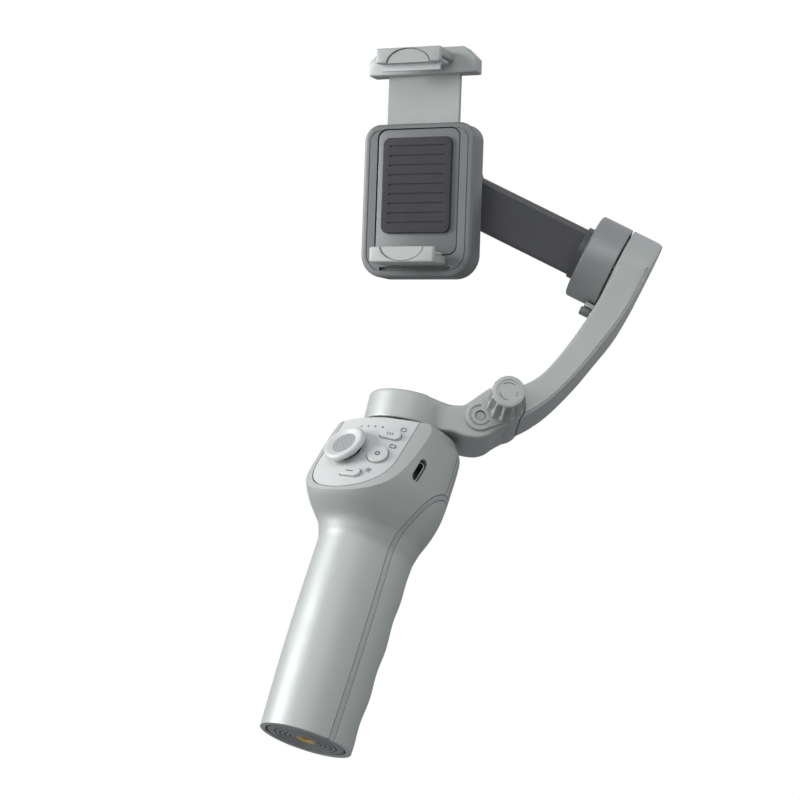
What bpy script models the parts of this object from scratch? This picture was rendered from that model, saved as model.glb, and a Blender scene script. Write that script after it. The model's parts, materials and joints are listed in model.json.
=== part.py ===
"""Folding three-axis phone gimbal: handle, pan arm, folding arm, tilt link and spring clamp.

Lengths are in millimetres and are scaled to metres when a piece is placed. The origin is the
tripod socket at the centre of the base, +Z runs up the handle, -Y is the side with the controls.
"""

import math

import bmesh
import bpy
from mathutils import Matrix, Vector

MM = 0.001
GAP = 0.3                      # clearance between pieces that touch on the real object

# Handle
BASE_R = 18.5                  # radius of the handle at the base
WALL = 2.2                     # thickness of the moulded shells
PAN_BASE_Z = 135.0             # height of the pan motor's seat on the handle's axis
PAN_LEAN = 7.0                 # degrees that the pan axis leans towards the controls
SEAM_Y = -5.2                  # side seam of the handle, just in front of its middle
SEAT_DROP = 1.2                # the head's top falls away by this much around the pan motor
TRIM_WIDTH = 2.3               # strip that runs along the seam
GRIP_TOP_Z = 108.0             # upper edge of the rear grip
GRIP_CURVE_Z = 85.0            # where the seam starts to curve back
SPINE_Y = 10.0                 # seam between the head's front shell and its rear cover
WAVE_PITCH = 21.0              # finger waves on the rear grip
WAVE_DEPTH = 1.1

# Control panel: a slice of a cylinder, leaning back from the vertical
PANEL_ORIGIN = (0.0, -20.5, 134.0)
PANEL_LEAN = 18.0
PANEL_R = 45.0
PANEL_HALF = 20.2              # half width of the panel's U outline
PANEL_STRAIGHT = -23.0         # where its straight sides meet the round bottom
PANEL_TOP = 6.0                # its top edge is cut by the pan motor's seat
PANEL_THICK = 2.4
JOYSTICK_AT = (-2.7, -22.9)    # places on the panel: across, up
MODE_AT = (11.8, -12.5)
RECORD_AT = (11.7, -23.6)
RECORD_R = 4.25
PILL = (9.4, 4.1)              # length and width of the two long buttons
POWER_AT = (4.7, -34.8)
LIGHTS_AT = (1.2, -9.0)
USB_SLANT = 167.0              # turns the socket's long side parallel to the panel's edge
BUTTON_TRAVEL = 0.6
BUTTON_PROUD = 0.9
JOYSTICK_PIVOT = -5.0          # below the panel's surface

# Pan arm and folding arm, in the frame of the pan joint: x outwards, z along the pan axis
PAN_REST = 36.0                # degrees the arm is turned back from the handle's right side
DRUM_R = 18.3
DRUM_H = 12.5
ARM_HALF = 14.0                # half width of both arms
NECK_BACK = 17.5               # the pan arm reaches further on its far side
HINGE = (37.3, 16.6)           # fold pivot: out, up
STOP_PIN = (28.4, 9.4)         # round pin in the hinge plate's small end
LUG_R = 8.1
TONGUE_HALF = 5.0              # half width of the folding arm's centre lug
KNOB_TOP = 32.6                # the knob's top, from the arm's middle

# Tilt motor at the end of the folding arm
TILT_AT = (70.4, 90.5)
TILT_CANT = 75.2               # degrees from the pan axis to the tilt axis
TILT_REST = -24.6
MOTOR_R = 18.5
MOTOR_H = 14.4
ARM_END = 13.8                 # thickness of the arm's round end

# Roll motor and clamp
ROLL_AT = (0.0, -39.6, 91.9)   # where the roll axis meets the plane of the phone's glass
ROLL_CANT = -14.9
ROLL_REST = 64.0
ROLL_R = 16.5
ROLL_FRONT = 22.5              # front of the roll motor behind the phone's glass
ROLL_BACK = 46.0
LINK_HALF = 10.4               # strap between the tilt and roll motors
LINK_FRONT = -7.0
LINK_REAR = 2.6
BODY_HALF = 24.7               # clamp body
BODY_LOW = -42.3
BODY_HIGH = 22.0
BODY_FRONT = 9.6
BODY_BACK = 21.6
FACE_HALF = 18.6               # plate let into the body's front
FACE_LOW = -33.3
FACE_HIGH = 20.0
ROD_AT = (19.6, 16.0)          # guide rods: to each side, back
JAW_HALF = 14.3
JAW_REACH = -5.0               # front of the jaw lips
LIP_THICK = 2.8
PHONE_LOW = -32.5
PHONE_HIGH = 45.5              # a phone 78 mm wide is held at rest


# ---------------------------------------------------------------- mesh helpers

def solid(name, points, faces):
    """A mesh object from points in millimetres, with its faces turned outwards."""
    mesh = bpy.data.meshes.new(name)
    mesh.from_pydata([tuple(p) for p in points], [], faces)
    work = bmesh.new()
    work.from_mesh(mesh)
    bmesh.ops.recalc_face_normals(work, faces=work.faces)
    work.to_mesh(mesh)
    work.free()
    obj = bpy.data.objects.new(name, mesh)
    bpy.context.scene.collection.objects.link(obj)
    return obj


def loft(name, rings):
    """A solid through rings that all have the same number of points, closed at both ends."""
    count = len(rings[0])
    points = [p for ring in rings for p in ring]
    faces = [tuple(range(count)), tuple(range(len(points) - count, len(points)))]
    for low in range(0, len(points) - count, count):
        for i in range(count):
            j = (i + 1) % count
            faces.append((low + i, low + j, low + count + j, low + count + i))
    return solid(name, points, faces)


def prism(name, outline, low, high, axis="z"):
    """An outline pushed along an axis: (x, y) along z, (y, z) along x, or (x, z) along y."""
    at = {"z": lambda a, b, h: (a, b, h),
          "x": lambda a, b, h: (h, a, b),
          "y": lambda a, b, h: (a, h, b)}[axis]
    return loft(name, [[at(a, b, h) for a, b in outline] for h in (low, high)])


def box(name, low, high):
    (x0, y0, z0), (x1, y1, z1) = low, high
    return prism(name, [(x0, y0), (x1, y0), (x1, y1), (x0, y1)], z0, z1)


def turned(name, profile, steps=32):
    """A solid turned about z from (radius, height) points, closed on the axis or as a ring."""
    points, loops = [], []
    for radius, height in profile:
        ring = 1 if radius < 1e-6 else steps
        loops.append([len(points) + i for i in range(ring)])
        for i in range(ring):
            angle = 2 * math.pi * i / steps
            points.append((radius * math.cos(angle), radius * math.sin(angle), height))
    pairs = list(zip(loops, loops[1:]))
    if len(loops[0]) > 1:
        pairs.append((loops[-1], loops[0]))
    faces = []
    for a, b in pairs:
        for i in range(steps):
            j = (i + 1) % steps
            corners = [a[i % len(a)], a[j % len(a)], b[j % len(b)], b[i % len(b)]]
            faces.append(tuple(dict.fromkeys(corners)))
    return solid(name, points, faces)


def disc(name, radius, low, high, steps=32):
    return turned(name, [(0, low), (radius, low), (radius, high), (0, high)], steps)


def ring(name, inner, outer, low, high, steps=32):
    return turned(name, [(inner, low), (outer, low), (outer, high), (inner, high)], steps)


def applied(obj):
    """Replace an object's mesh by what its modifiers make of it."""
    bpy.context.view_layer.update()
    shape = obj.evaluated_get(bpy.context.evaluated_depsgraph_get())
    mesh = bpy.data.meshes.new_from_object(shape)
    obj.modifiers.clear()
    obj.data = mesh
    return obj


def combine(target, tools, operation):
    for tool in tools:
        step = target.modifiers.new(operation, "BOOLEAN")
        step.operation = operation
        step.solver = "EXACT"
        step.object = tool
        applied(target)
        bpy.data.objects.remove(tool)
    return target


def cut(target, *tools):
    return combine(target, tools, "DIFFERENCE")


def join(target, *tools):
    return combine(target, tools, "UNION")


def keep(target, *tools):
    return combine(target, tools, "INTERSECT")


def rounded(obj, width, segments=2, angle=35.0):
    step = obj.modifiers.new("round", "BEVEL")
    step.width = width
    step.segments = segments
    step.limit_method = "ANGLE"
    step.angle_limit = math.radians(angle)
    return applied(obj)


def moved(obj, frame):
    obj.data.transform(frame)
    return obj


def copy(obj, name):
    twin = bpy.data.objects.new(name, obj.data.copy())
    bpy.context.scene.collection.objects.link(twin)
    return twin


# ---------------------------------------------------------------- outlines

def arc(centre, radius, start, end, steps):
    """Points on an arc, angles in degrees."""
    turn = [math.radians(start + (end - start) * i / steps) for i in range(steps + 1)]
    return [(centre[0] + radius * math.cos(a), centre[1] + radius * math.sin(a)) for a in turn]


def pill(length, width, steps=8, centre=(0.0, 0.0)):
    """A slot outline that lies along x."""
    side, end = (length - width) / 2, width / 2
    right = arc((centre[0] + side, centre[1]), end, -90, 90, steps)
    return right + arc((centre[0] - side, centre[1]), end, 90, 270, steps)


def rounded_box(x0, z0, x1, z1, radius, steps=5):
    """A rectangle with round corners; radius may be one number or one for each corner."""
    radii = radius if isinstance(radius, tuple) else (radius,) * 4
    corners = [(x1, z0, -90), (x1, z1, 0), (x0, z1, 90), (x0, z0, 180)]
    points = []
    for (x, z, start), r in zip(corners, radii):
        cx = x - r if x == x1 else x + r
        cz = z - r if z == z1 else z + r
        points += arc((cx, cz), r, start, start + 90, steps)
    return points


def smooth(knots, steps=4):
    """A curve through knots (Catmull-Rom), for outlines and stations of any length."""
    ends = [[2 * a - b for a, b in zip(knots[0], knots[1])], *knots,
            [2 * a - b for a, b in zip(knots[-1], knots[-2])]]
    points = []
    for p0, p1, p2, p3 in zip(ends, ends[1:], ends[2:], ends[3:]):
        for i in range(steps):
            t = i / steps
            points.append(tuple(
                0.5 * (2 * b + (c - a) * t + (2 * a - 5 * b + 4 * c - d) * t * t
                       + (3 * b - a - 3 * c + d) * t ** 3)
                for a, b, c, d in zip(p0, p1, p2, p3)))
    return points + [tuple(knots[-1])]


# ---------------------------------------------------------------- frames and placing

def turn(axis, degrees):
    return Matrix.Rotation(math.radians(degrees), 4, axis)


def shift(x, y, z):
    return Matrix.Translation((x, y, z))


PANEL = shift(*PANEL_ORIGIN) @ turn("X", 90 - PANEL_LEAN)
PAN = shift(0, 0, PAN_BASE_Z) @ turn("X", PAN_LEAN) @ turn("Z", PAN_REST)
PAN_SEAT = shift(0, 0, PAN_BASE_Z) @ turn("X", PAN_LEAN)
FOLD = PAN @ shift(HINGE[0], 0, HINGE[1])
MOTOR_IN_ARM = shift(TILT_AT[0], 0, TILT_AT[1]) @ turn("Y", -TILT_CANT)
TILT = PAN @ MOTOR_IN_ARM @ turn("Z", TILT_REST)
ROLL_MOTOR = TILT @ shift(*ROLL_AT) @ turn("X", ROLL_CANT)
CLAMP = ROLL_MOTOR @ turn("Y", ROLL_REST)


def on_panel(at, height=0.0):
    """The frame of a place on the curved panel, z along the panel's outward normal there."""
    angle = at[0] / PANEL_R
    lift = PANEL_R + height
    spot = shift(lift * math.sin(angle), at[1], lift * math.cos(angle) - PANEL_R)
    return PANEL @ spot @ turn("Y", math.degrees(angle))


COLOURS = {                    # colour, roughness, metallic
    "shell": ((0.50, 0.53, 0.52), 0.38, 0.35),
    "shell_dark": ((0.30, 0.32, 0.32), 0.42, 0.35),
    "panel": ((0.56, 0.59, 0.59), 0.35, 0.3),
    "black_plastic": ((0.02, 0.02, 0.022), 0.5, 0.0),
    "rubber": ((0.06, 0.062, 0.065), 0.8, 0.0),
    "steel": ((0.55, 0.55, 0.56), 0.3, 1.0),
    "brass": ((0.72, 0.52, 0.2), 0.3, 1.0),
    "magnet": ((0.25, 0.25, 0.27), 0.3, 1.0),
    "copper": ((0.6, 0.28, 0.12), 0.35, 1.0),
    "board": ((0.03, 0.12, 0.06), 0.5, 0.0),
    "cell": ((0.05, 0.1, 0.22), 0.45, 0.0),
    "lens": ((0.85, 0.88, 0.86), 0.2, 0.0),
}


def material(slot):
    found = bpy.data.materials.get(slot)
    if found:
        return found
    colour, roughness, metallic = COLOURS[slot]
    made = bpy.data.materials.new(slot)
    made.use_nodes = True
    shader = made.node_tree.nodes["Principled BSDF"]
    shader.inputs["Base Color"].default_value = (*colour, 1.0)
    shader.inputs["Roughness"].default_value = roughness
    shader.inputs["Metallic"].default_value = metallic
    return made


def pivot(name, frame, parent=None):
    """An empty that carries a moving body, placed on its joint's axis."""
    empty = bpy.data.objects.new(name, None)
    bpy.context.scene.collection.objects.link(empty)
    where, spin, _ = frame.decompose()
    world = Matrix.Translation(where * MM) @ spin.to_matrix().to_4x4()
    empty.parent = parent
    empty.matrix_world = world
    empty["frame"] = [v for row in frame for v in row]
    bpy.context.view_layer.update()
    return empty


def place(obj, carrier, slot, frame=None):
    """Scale a piece modelled in its carrier's frame (or in another one) to metres and parent it."""
    own = Matrix([carrier["frame"][i:i + 4] for i in range(0, 16, 4)])
    obj.data.transform(Matrix.Scale(MM, 4) @ own.inverted() @ (frame or own))
    obj.parent = carrier
    obj.matrix_parent_inverse = Matrix()
    obj.data.materials.clear()
    obj.data.materials.append(material(slot))
    obj.data.shade_smooth()
    obj.data.set_sharp_from_angle(angle=math.radians(35))
    return obj


# ---------------------------------------------------------------- handle shells

def egg(z, half, front, back, squareness=2.0, steps=32, inset=0.0):
    """One level ring of the handle: its own half width, depth in front and depth behind."""
    points = []
    for i in range(steps):
        angle = 2 * math.pi * i / steps
        across, along = math.cos(angle), math.sin(angle)
        power = 2 / squareness if along < 0 else 1.0
        x = (half - inset) * math.copysign(abs(across) ** power, across)
        depth = (front if along < 0 else back) - inset
        points.append((x, depth * math.copysign(abs(along) ** power, along), z))
    return points


HEAD_LEVELS = [                # height, half width, front, back, squareness of the front
    (80.0, 19.6, 22.0, 18.6, 2.0),
    (85.0, 20.6, 24.6, 19.9, 2.05),
    (88.0, 21.6, 29.5, 20.9, 2.1),
    (91.0, 22.7, 33.8, 22.0, 2.2),
    (95.0, 23.8, 36.2, 23.4, 2.4),
    (100.0, 24.8, 37.0, 24.6, 2.7),
    (106.0, 25.3, 37.5, 25.3, 2.9),
    (116.0, 25.5, 38.0, 25.5, 3.0),
    (126.5, 25.3, 38.0, 25.3, 3.0),
    (130.0, 24.2, 37.0, 24.2, 3.0),
    (133.5, 22.0, 35.0, 22.0, 3.0),
    (137.5, 19.2, 32.0, 19.2, 3.0),
]


def handle_levels():
    """Levels of the straight handle, with finger waves behind, then those of the head."""
    levels = []
    z = 0.0
    while z < 79.0:
        fade = min(1.0, (78.0 - z) / 12.0, (z + 4.0) / 10.0)
        wave = WAVE_DEPTH * (math.cos(2 * math.pi * (z - 23.0) / WAVE_PITCH) - 1) / 2 * fade
        swell = 0.7 * math.sin(math.pi * z / 80.0)
        half = BASE_R + 0.8 * (z / 78.0) ** 2 + swell
        levels.append((z, half, BASE_R + 3.2 * z / 78.0 + swell, BASE_R + 0.2 + wave, 2.0))
        z += WAVE_PITCH / 5
    return levels + HEAD_LEVELS


def outer_form(name):
    rings = [egg(z, h, f, b, s) for z, h, f, b, s in handle_levels()]
    form = loft(name, rings)
    return trim_to_panel(trim_to_seat(form, 0.6, SEAT_DROP))


def inner_form(name, inset, drop=0.0):
    """The hollow of the shells, or with a small inset the trim strip's bed."""
    chosen = [level for i, level in enumerate(handle_levels()) if i % 2 == 0 or level[0] > 79]
    rings = [egg(z, h, f, b, s, 24, inset) for z, h, f, b, s in chosen]
    rings[0] = [(x, y, -5.0) for x, y, _ in rings[0]]
    form = loft(name, rings)
    return trim_to_panel(trim_to_seat(form, drop), inset)


def trim_to_seat(form, drop, slope=0.0):
    """Cut the top off along the pan motor's seat, and lower outside it where a slope is given."""
    above = turned("above", [(0, -drop), (18.7, -drop), (22.0, -drop - slope),
                             (70.0, -drop - 1.6 * slope), (70.0, 60.0), (0, 60.0)], 30)
    return cut(form, moved(above, PAN_SEAT @ turn("Z", 4)))


def trim_to_panel(form, inset=0.0):
    """Cut the front off along the panel's cylinder."""
    radius = PANEL_R - inset
    curve = [(radius * math.sin(a), radius * math.cos(a) - PANEL_R)
             for a in [math.radians(-75 + 150 * i / 30) for i in range(31)]]
    outline = curve + [(70, -30), (70, 50), (-70, 50), (-70, -30)]
    return cut(form, moved(prism("front", outline, -62, 30, "y"), PANEL))


def seam(offset):
    """The side seam as (y, z) points, moved out from the grip by an offset."""
    reach, rise = SPINE_Y - SEAM_Y + 2.0 + offset, GRIP_TOP_Z - GRIP_CURVE_Z + offset
    bend = [(SPINE_Y - reach * math.cos(a), GRIP_CURVE_Z + rise * math.sin(a))
            for a in [math.radians(90 * i / 8) for i in range(9)]]
    return [(SEAM_Y - offset, -10.0), *bend, (60.0, GRIP_TOP_Z + offset)]


def grip_region(name, offset):
    return prism(name, seam(offset) + [(60.0, -10.0)], -60, 60, "x")


def panel_outline(grow=0.0):
    """The panel's U, across and up, grown outwards by an amount."""
    half = PANEL_HALF + grow
    bottom = arc((0.0, PANEL_STRAIGHT), half, 180, 360, 16)
    top = PANEL_TOP + grow
    flat = [*bottom, (half, top - 3), (half - 3, top), (3 - half, top), (-half, top - 3)]
    return [(PANEL_R * math.sin(s / PANEL_R), v) for s, v in flat]


def build_shells(root):
    hollow = inner_form("hollow", WALL, 4.0)
    shell = cut(outer_form("shell"), hollow)
    usb = moved(prism("usb_hole", pill(10.4, 3.9), -8, 8), usb_frame())
    cut(shell, usb, moved(disc("motor_hole", 16.4, -40, 40), PAN_SEAT))
    cut(shell, moved(prism("panel_hole", panel_outline(), -9, 9), PANEL))

    trim_band = cut(outer_form("band"), inner_form("bed", 1.7))
    band = cut(grip_region("band_out", TRIM_WIDTH - GAP), grip_region("band_in", 0.0))
    trim = keep(trim_band, band)

    grip = keep(copy(shell, "grip"), grip_region("grip_part", -GAP))
    rear_part = box("rear_part", (-60, SPINE_Y + GAP, GRIP_TOP_Z + TRIM_WIDTH), (60, 60, 160))
    rear = keep(copy(shell, "rear"), rear_part)
    front = cut(shell, grip_region("front_part", TRIM_WIDTH),
                box("spine_part", (-60, SPINE_Y, 90), (60, 60, 160)))
    for side in (-1, 1):
        cut(rear, moved(disc("boss", 1.7, -30, 30, 16), screw_frame(side)))
    for obj, name, slot in ((front, "front_shell", "shell"), (grip, "rear_grip", "shell"),
                            (rear, "head_rear_cover", "shell"), (trim, "seam_trim", "shell_dark")):
        obj.name = name
        place(obj, root, slot)


def usb_frame():
    """On the right flank of the head, its long side parallel to the panel's edge."""
    return shift(21.6, -12.6, 110.5) @ turn("Z", -33) @ turn("Y", 90) @ turn("Z", USB_SLANT)


def screw_frame(side):
    return shift(side * 19.4, 15.2, 114.5) @ turn("Z", side * -52) @ turn("X", -90)


# ---------------------------------------------------------------- handle pieces

def build_panel(root):
    band = arc((0, -PANEL_R), PANEL_R - 0.15, 38, 142, 22)
    band += arc((0, -PANEL_R), PANEL_R - PANEL_THICK, 142, 38, 22)
    panel = prism("control_panel", band, -60, 20, "y")
    keep(panel, prism("u", panel_outline(-GAP), -20, 20))
    moved(panel, PANEL)
    cut(panel, moved(disc("record_hole", RECORD_R + GAP, -9, 9, 28), on_panel(RECORD_AT)))
    for at in (MODE_AT, POWER_AT):
        hole = pill(PILL[0] + 2 * GAP, PILL[1] + 2 * GAP, 6)
        cut(panel, moved(prism("pill_hole", hole, -9, 9), on_panel(at)))
    cut(panel, moved(prism("light_hole", pill(12.6, 1.5, 4), -9, 9), on_panel(LIGHTS_AT)))
    cut(panel, moved(disc("stick_hole", 5.6, -9, 9, 36), on_panel(JOYSTICK_AT)))
    trim_to_seat(panel, 0.7, SEAT_DROP)
    place(panel, root, "panel")

    lens = moved(prism("indicator_lens", pill(12.0, 0.9, 4), -2.2, -0.05), on_panel(LIGHTS_AT))
    place(lens, root, "lens")

    housing = cut(box("joystick_housing", (-7.5, -7.5, -8.6), (7.5, 7.5, -3.4)),
                  disc("well", 6.6, -7.8, 0), disc("drain", 1.5, -20, 0, 12))
    place(moved(housing, on_panel(JOYSTICK_AT)), root, "black_plastic")


def build_joystick(ring_carrier, cap_carrier):
    """A cap on a stem that tilts in a gimbal ring under the panel."""
    gimbal = turned("joystick_ring", [(3.6, -1.1), (5.4, -1.1), (5.4, 1.1), (3.6, 1.1)], 28)
    place(gimbal, ring_carrier, "black_plastic")
    deck = -JOYSTICK_PIVOT
    profile = [(0, -1.6), (2.6, -1.6), (2.6, deck + 1.9), (7.2, deck + 2.3), (8.9, deck + 2.7),
               (9.2, deck + 3.3), (8.9, deck + 4.3), (8.2, deck + 4.9), (7.2, deck + 4.9),
               (5.4, deck + 4.2), (3.0, deck + 3.75), (0, deck + 3.6)]
    place(turned("joystick_cap", profile, 32), cap_carrier, "shell")


def build_button(name, carrier, outline):
    cap = prism(name, outline, -PANEL_THICK - 0.6, BUTTON_PROUD)
    place(rounded(cap, 0.3, 1, 60), carrier, "panel")


def build_base(root):
    rim = BASE_R - WALL - 2 * GAP
    cap = turned("base_cap", [(4.6, -0.6), (rim - 0.8, -0.6), (rim, 0.4), (rim, 5.0),
                              (rim - 1.6, 5.0), (rim - 1.6, 2.6), (4.6, 2.6)], 36)
    place(moved(cap, shift(0, 0, 0.6)), root, "black_plastic")
    insert = turned("tripod_insert", [(2.6, 0.3), (4.3, 0.3), (4.3, 3.4), (5.4, 3.6), (5.4, 9.0),
                                      (2.6, 9.0)], 24)
    place(insert, root, "brass")


def build_inside(root):
    """Battery, its cradle, the board, the USB socket and the fixed half of the pan motor."""
    place(moved(disc("battery_cell", 9.1, 12, 77), shift(0, 1.0, 0)), root, "cell")
    cradle = ring("battery_cradle", 9.6, 11.2, 10.6, 79.0)
    cut(cradle, box("window", (-20, -20, 18), (20, 0, 71)))
    place(moved(cradle, shift(0, 1.0, 0)), root, "black_plastic")
    board = box("main_board", (-14, -40, -13.0), (14, -15, -11.8))
    place(moved(board, PANEL), root, "board")
    socket = prism("usb_socket", pill(9.0, 3.2), -7.4, 1.2)
    cut(socket, prism("mouth", pill(8.2, 2.4), -6.4, 9))
    place(moved(socket, usb_frame()), root, "steel")
    for side, name in ((1, "cover_screw_right"), (-1, "cover_screw_left")):
        screw = turned(name, [(0, -5.6), (0.9, -5.6), (0.9, -1.2), (1.4, -0.6), (1.4, 0.2),
                              (0, 0.2)], 12)
        place(moved(screw, screw_frame(side)), root, "steel")

    cup = turned("pan_motor_cup", [(3.9, -14.0), (16.0, -14.0), (16.0, -0.8), (14.9, -0.8),
                                   (14.9, -12.6), (5.3, -12.6), (5.3, -4.0), (3.9, -4.0)], 32)
    place(moved(cup, PAN_SEAT), root, "black_plastic")
    place(moved(stator("pan_motor_stator", 5.6, 11.8, -11.6, -4.0), PAN_SEAT), root, "copper")
    bearing = ring("pan_bearing", 3.05, 3.8, -13.0, -9.0, 24)
    place(moved(bearing, PAN_SEAT), root, "steel")


def stator(name, inner, outer, low, high, poles=9):
    """A ring of wound poles."""
    core = ring(name, inner, outer, low, high, 27)
    for i in range(poles):
        slot = box("slot", (inner + 1.8, -0.6, low - 1), (outer + 1, 0.6, high + 1))
        cut(core, moved(slot, turn("Z", 360 * i / poles)))
    return core


# ---------------------------------------------------------------- pan arm and hinge

NECK = [                       # lower edge and upper edge of the neck: out, up, out, up
    (4.0, 0.0, 4.0, 12.5),
    (14.0, 0.0, 14.0, 12.0),
    (19.0, 0.4, 17.5, 11.9),
    (24.0, -0.3, 21.0, 12.8),
    (29.5, 0.3, 24.0, 16.0),
    (33.4, 2.3, 27.3, 19.8),
    (36.5, 5.7, 30.9, 23.3),
    (39.7, 8.6, 34.9, 24.5),
]

STRAP = [                      # outer edge, inner edge, half width of the folding arm
    (40.1, 8.9, 36.9, 24.8, 14.0),
    (45.0, 12.7, 41.9, 26.4, 14.0),
    (50.5, 17.7, 47.2, 30.7, 14.0),
    (56.6, 25.2, 51.6, 36.9, 14.0),
    (64.1, 37.5, 56.6, 46.9, 14.1),
    (70.7, 50.7, 61.0, 57.2, 14.6),
    (75.8, 64.4, 64.9, 67.8, 15.8),
    (80.3, 78.7, 68.3, 79.7, 17.4),
    (83.7, 87.0, 71.1, 90.3, 18.3),
]


KNUCKLE = [                    # outer and inner edge where the centre lug meets the arm
    (39.4, 10.6, 38.5, 23.5),
    (42.9, 12.4, 40.5, 24.3),
    (47.0, 15.5, 44.2, 26.9),
]


def strap(name, stations, half, inset=0.0, steps=4, corner=1.6):
    """A bar with a rounded rectangular section, swept through pairs of edge points."""
    rings = []
    for station in smooth(stations, steps):
        low, high = Vector(station[0:2]), Vector(station[2:4])
        across = (high - low).normalized()
        low, high = low + across * inset, high - across * inset
        wide = (station[4] if len(station) > 4 else half) - inset
        section = rounded_box(-wide, 0, wide, (high - low).length, max(corner - inset / 2, 0.5), 2)
        rings.append([(low.x + across.x * h, w, low.y + across.y * h) for w, h in section])
    return loft(name, rings)


def build_pan_arm(carrier):
    drum = turned("pan_arm", [(0, 0), (DRUM_R - 0.4, 0), (DRUM_R, 0.4), (DRUM_R, DRUM_H - 1.2),
                              (DRUM_R - 1.2, DRUM_H), (0, DRUM_H)], 40)
    neck = strap("neck", NECK, (ARM_HALF + NECK_BACK) / 2, 0.0, 2)
    lugs = prism("lugs", arc(HINGE, LUG_R, 0, 360, 32)[:-1], -ARM_HALF, NECK_BACK, "y")
    join(drum, moved(neck, shift(0, (NECK_BACK - ARM_HALF) / 2, 0)), lugs)
    cut(drum, prism("tongue_slot", arc(HINGE, LUG_R + 0.5, 0, 360, 32)[:-1],
                    -TONGUE_HALF - GAP, TONGUE_HALF + GAP, "y"))
    sweep = [(HINGE[0], HINGE[1] + 40), *arc(HINGE, LUG_R + 0.5, 150, -62, 10), (70, -20), (70, 60)]
    cut(drum, prism("arm_way", sweep, -TONGUE_HALF - GAP, TONGUE_HALF + GAP, "y"))
    above = [(HINGE[0] - 9.0, HINGE[1] + 40), *arc(HINGE, LUG_R + 0.1, 150, 70, 6), (50, 60)]
    cut(drum, prism("fold_way", above, -20, 20, "y"))
    cut(drum, moved(disc("pin_hole", 3.1, -40, 40, 20), hinge_axis()),
        disc("shaft_hole", 3.3, -5, 9.0, 20),
        prism("stop_pin_hole", arc(STOP_PIN, 2.2, 0, 360, 16)[:-1], -15, -11, "y"))
    place(drum, carrier, "shell")

    place(disc("pan_shaft", 3.0, -13.6, 8.6, 20), carrier, "steel")
    place(ring("pan_magnet_ring", 12.3, 14.4, -11.4, -0.3, 32), carrier, "magnet")
    place(hinge_plate(), carrier, "shell")
    pin = prism("hinge_stop_pin", arc(STOP_PIN, 1.9, 0, 360, 20)[:-1], -14.6, -11.2, "y")
    place(pin, carrier, "steel")
    bolt = turned("hinge_bolt", [(0, -13.7), (2.9, -13.7), (2.9, 14.2), (2.2, 14.5), (2.2, 24.0),
                                 (0, 24.0)], 20)
    place(moved(bolt, hinge_axis()), carrier, "steel")


def hinge_axis():
    """z runs out of the arm's front face along the fold pivot."""
    return shift(HINGE[0], 0, HINGE[1]) @ turn("X", 90)


def hinge_plate():
    """A teardrop cover on the neck, round at the stop pin and at the pivot."""
    small, large = STOP_PIN, HINGE
    toward = math.degrees(math.atan2(large[1] - small[1], large[0] - small[0]))
    spread = 84.0
    outline = arc(small, 6.2, toward + spread, toward + 360 - spread, 10)
    outline += arc(large, 7.7, toward - spread, toward + spread, 10)
    plate = prism("hinge_plate", outline, -ARM_HALF - 1.4, -ARM_HALF - 0.1, "y")
    rounded(plate, 0.4, 1)
    groove = arc(small, 4.6, toward + 60, toward + 300, 10)
    groove += arc(small, 3.7, toward + 300, toward + 60, 10)
    cut(plate, prism("groove", groove, -30, -ARM_HALF - 0.8, "y"),
        prism("pin_gap", arc(small, 2.2, 0, 360, 20)[:-1], -30, 0, "y"),
        prism("bolt_gap", arc(large, 3.1, 0, 360, 24)[:-1], -30, 0, "y"))
    return plate


def build_knob(carrier):
    """A lobed knob that clamps the fold, with a shallow dish in its top."""
    rings = []
    levels = [(15.8, 7.6), (16.8, 7.8), (22.0, 7.1), (KNOB_TOP - 1.0, 6.45), (KNOB_TOP, 6.0)]
    for height, radius in levels:
        depth = 0.5 if height < KNOB_TOP - 2 else 0.0
        rings.append([((radius + depth * math.cos(12 * a)) * math.cos(a),
                       (radius + depth * math.cos(12 * a)) * math.sin(a), height)
                      for a in [2 * math.pi * i / 48 for i in range(48)]])
    knob = loft("fold_knob", rings)
    cut(knob, disc("thread", 2.6, 10, 25.0, 20), disc("dish", 4.9, KNOB_TOP - 0.4, 40, 28))
    place(moved(knob, turn("X", 90)), carrier, "shell")


# ---------------------------------------------------------------- folding arm and tilt motor

def cover_region(name, grow):
    """The far side of the folding arm between its knuckle and its round end."""
    region = box(name, (-50, ARM_HALF - 2.6 - grow, -50), (200, 60, 200))
    return cut(region, moved(disc("keep_end", MOTOR_R + 0.6 - grow, -60, 60, 40), MOTOR_IN_ARM),
               prism("keep_knuckle", arc(HINGE, 14.0 - grow, 0, 360, 28)[:-1], -60, 70, "y"))


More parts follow.
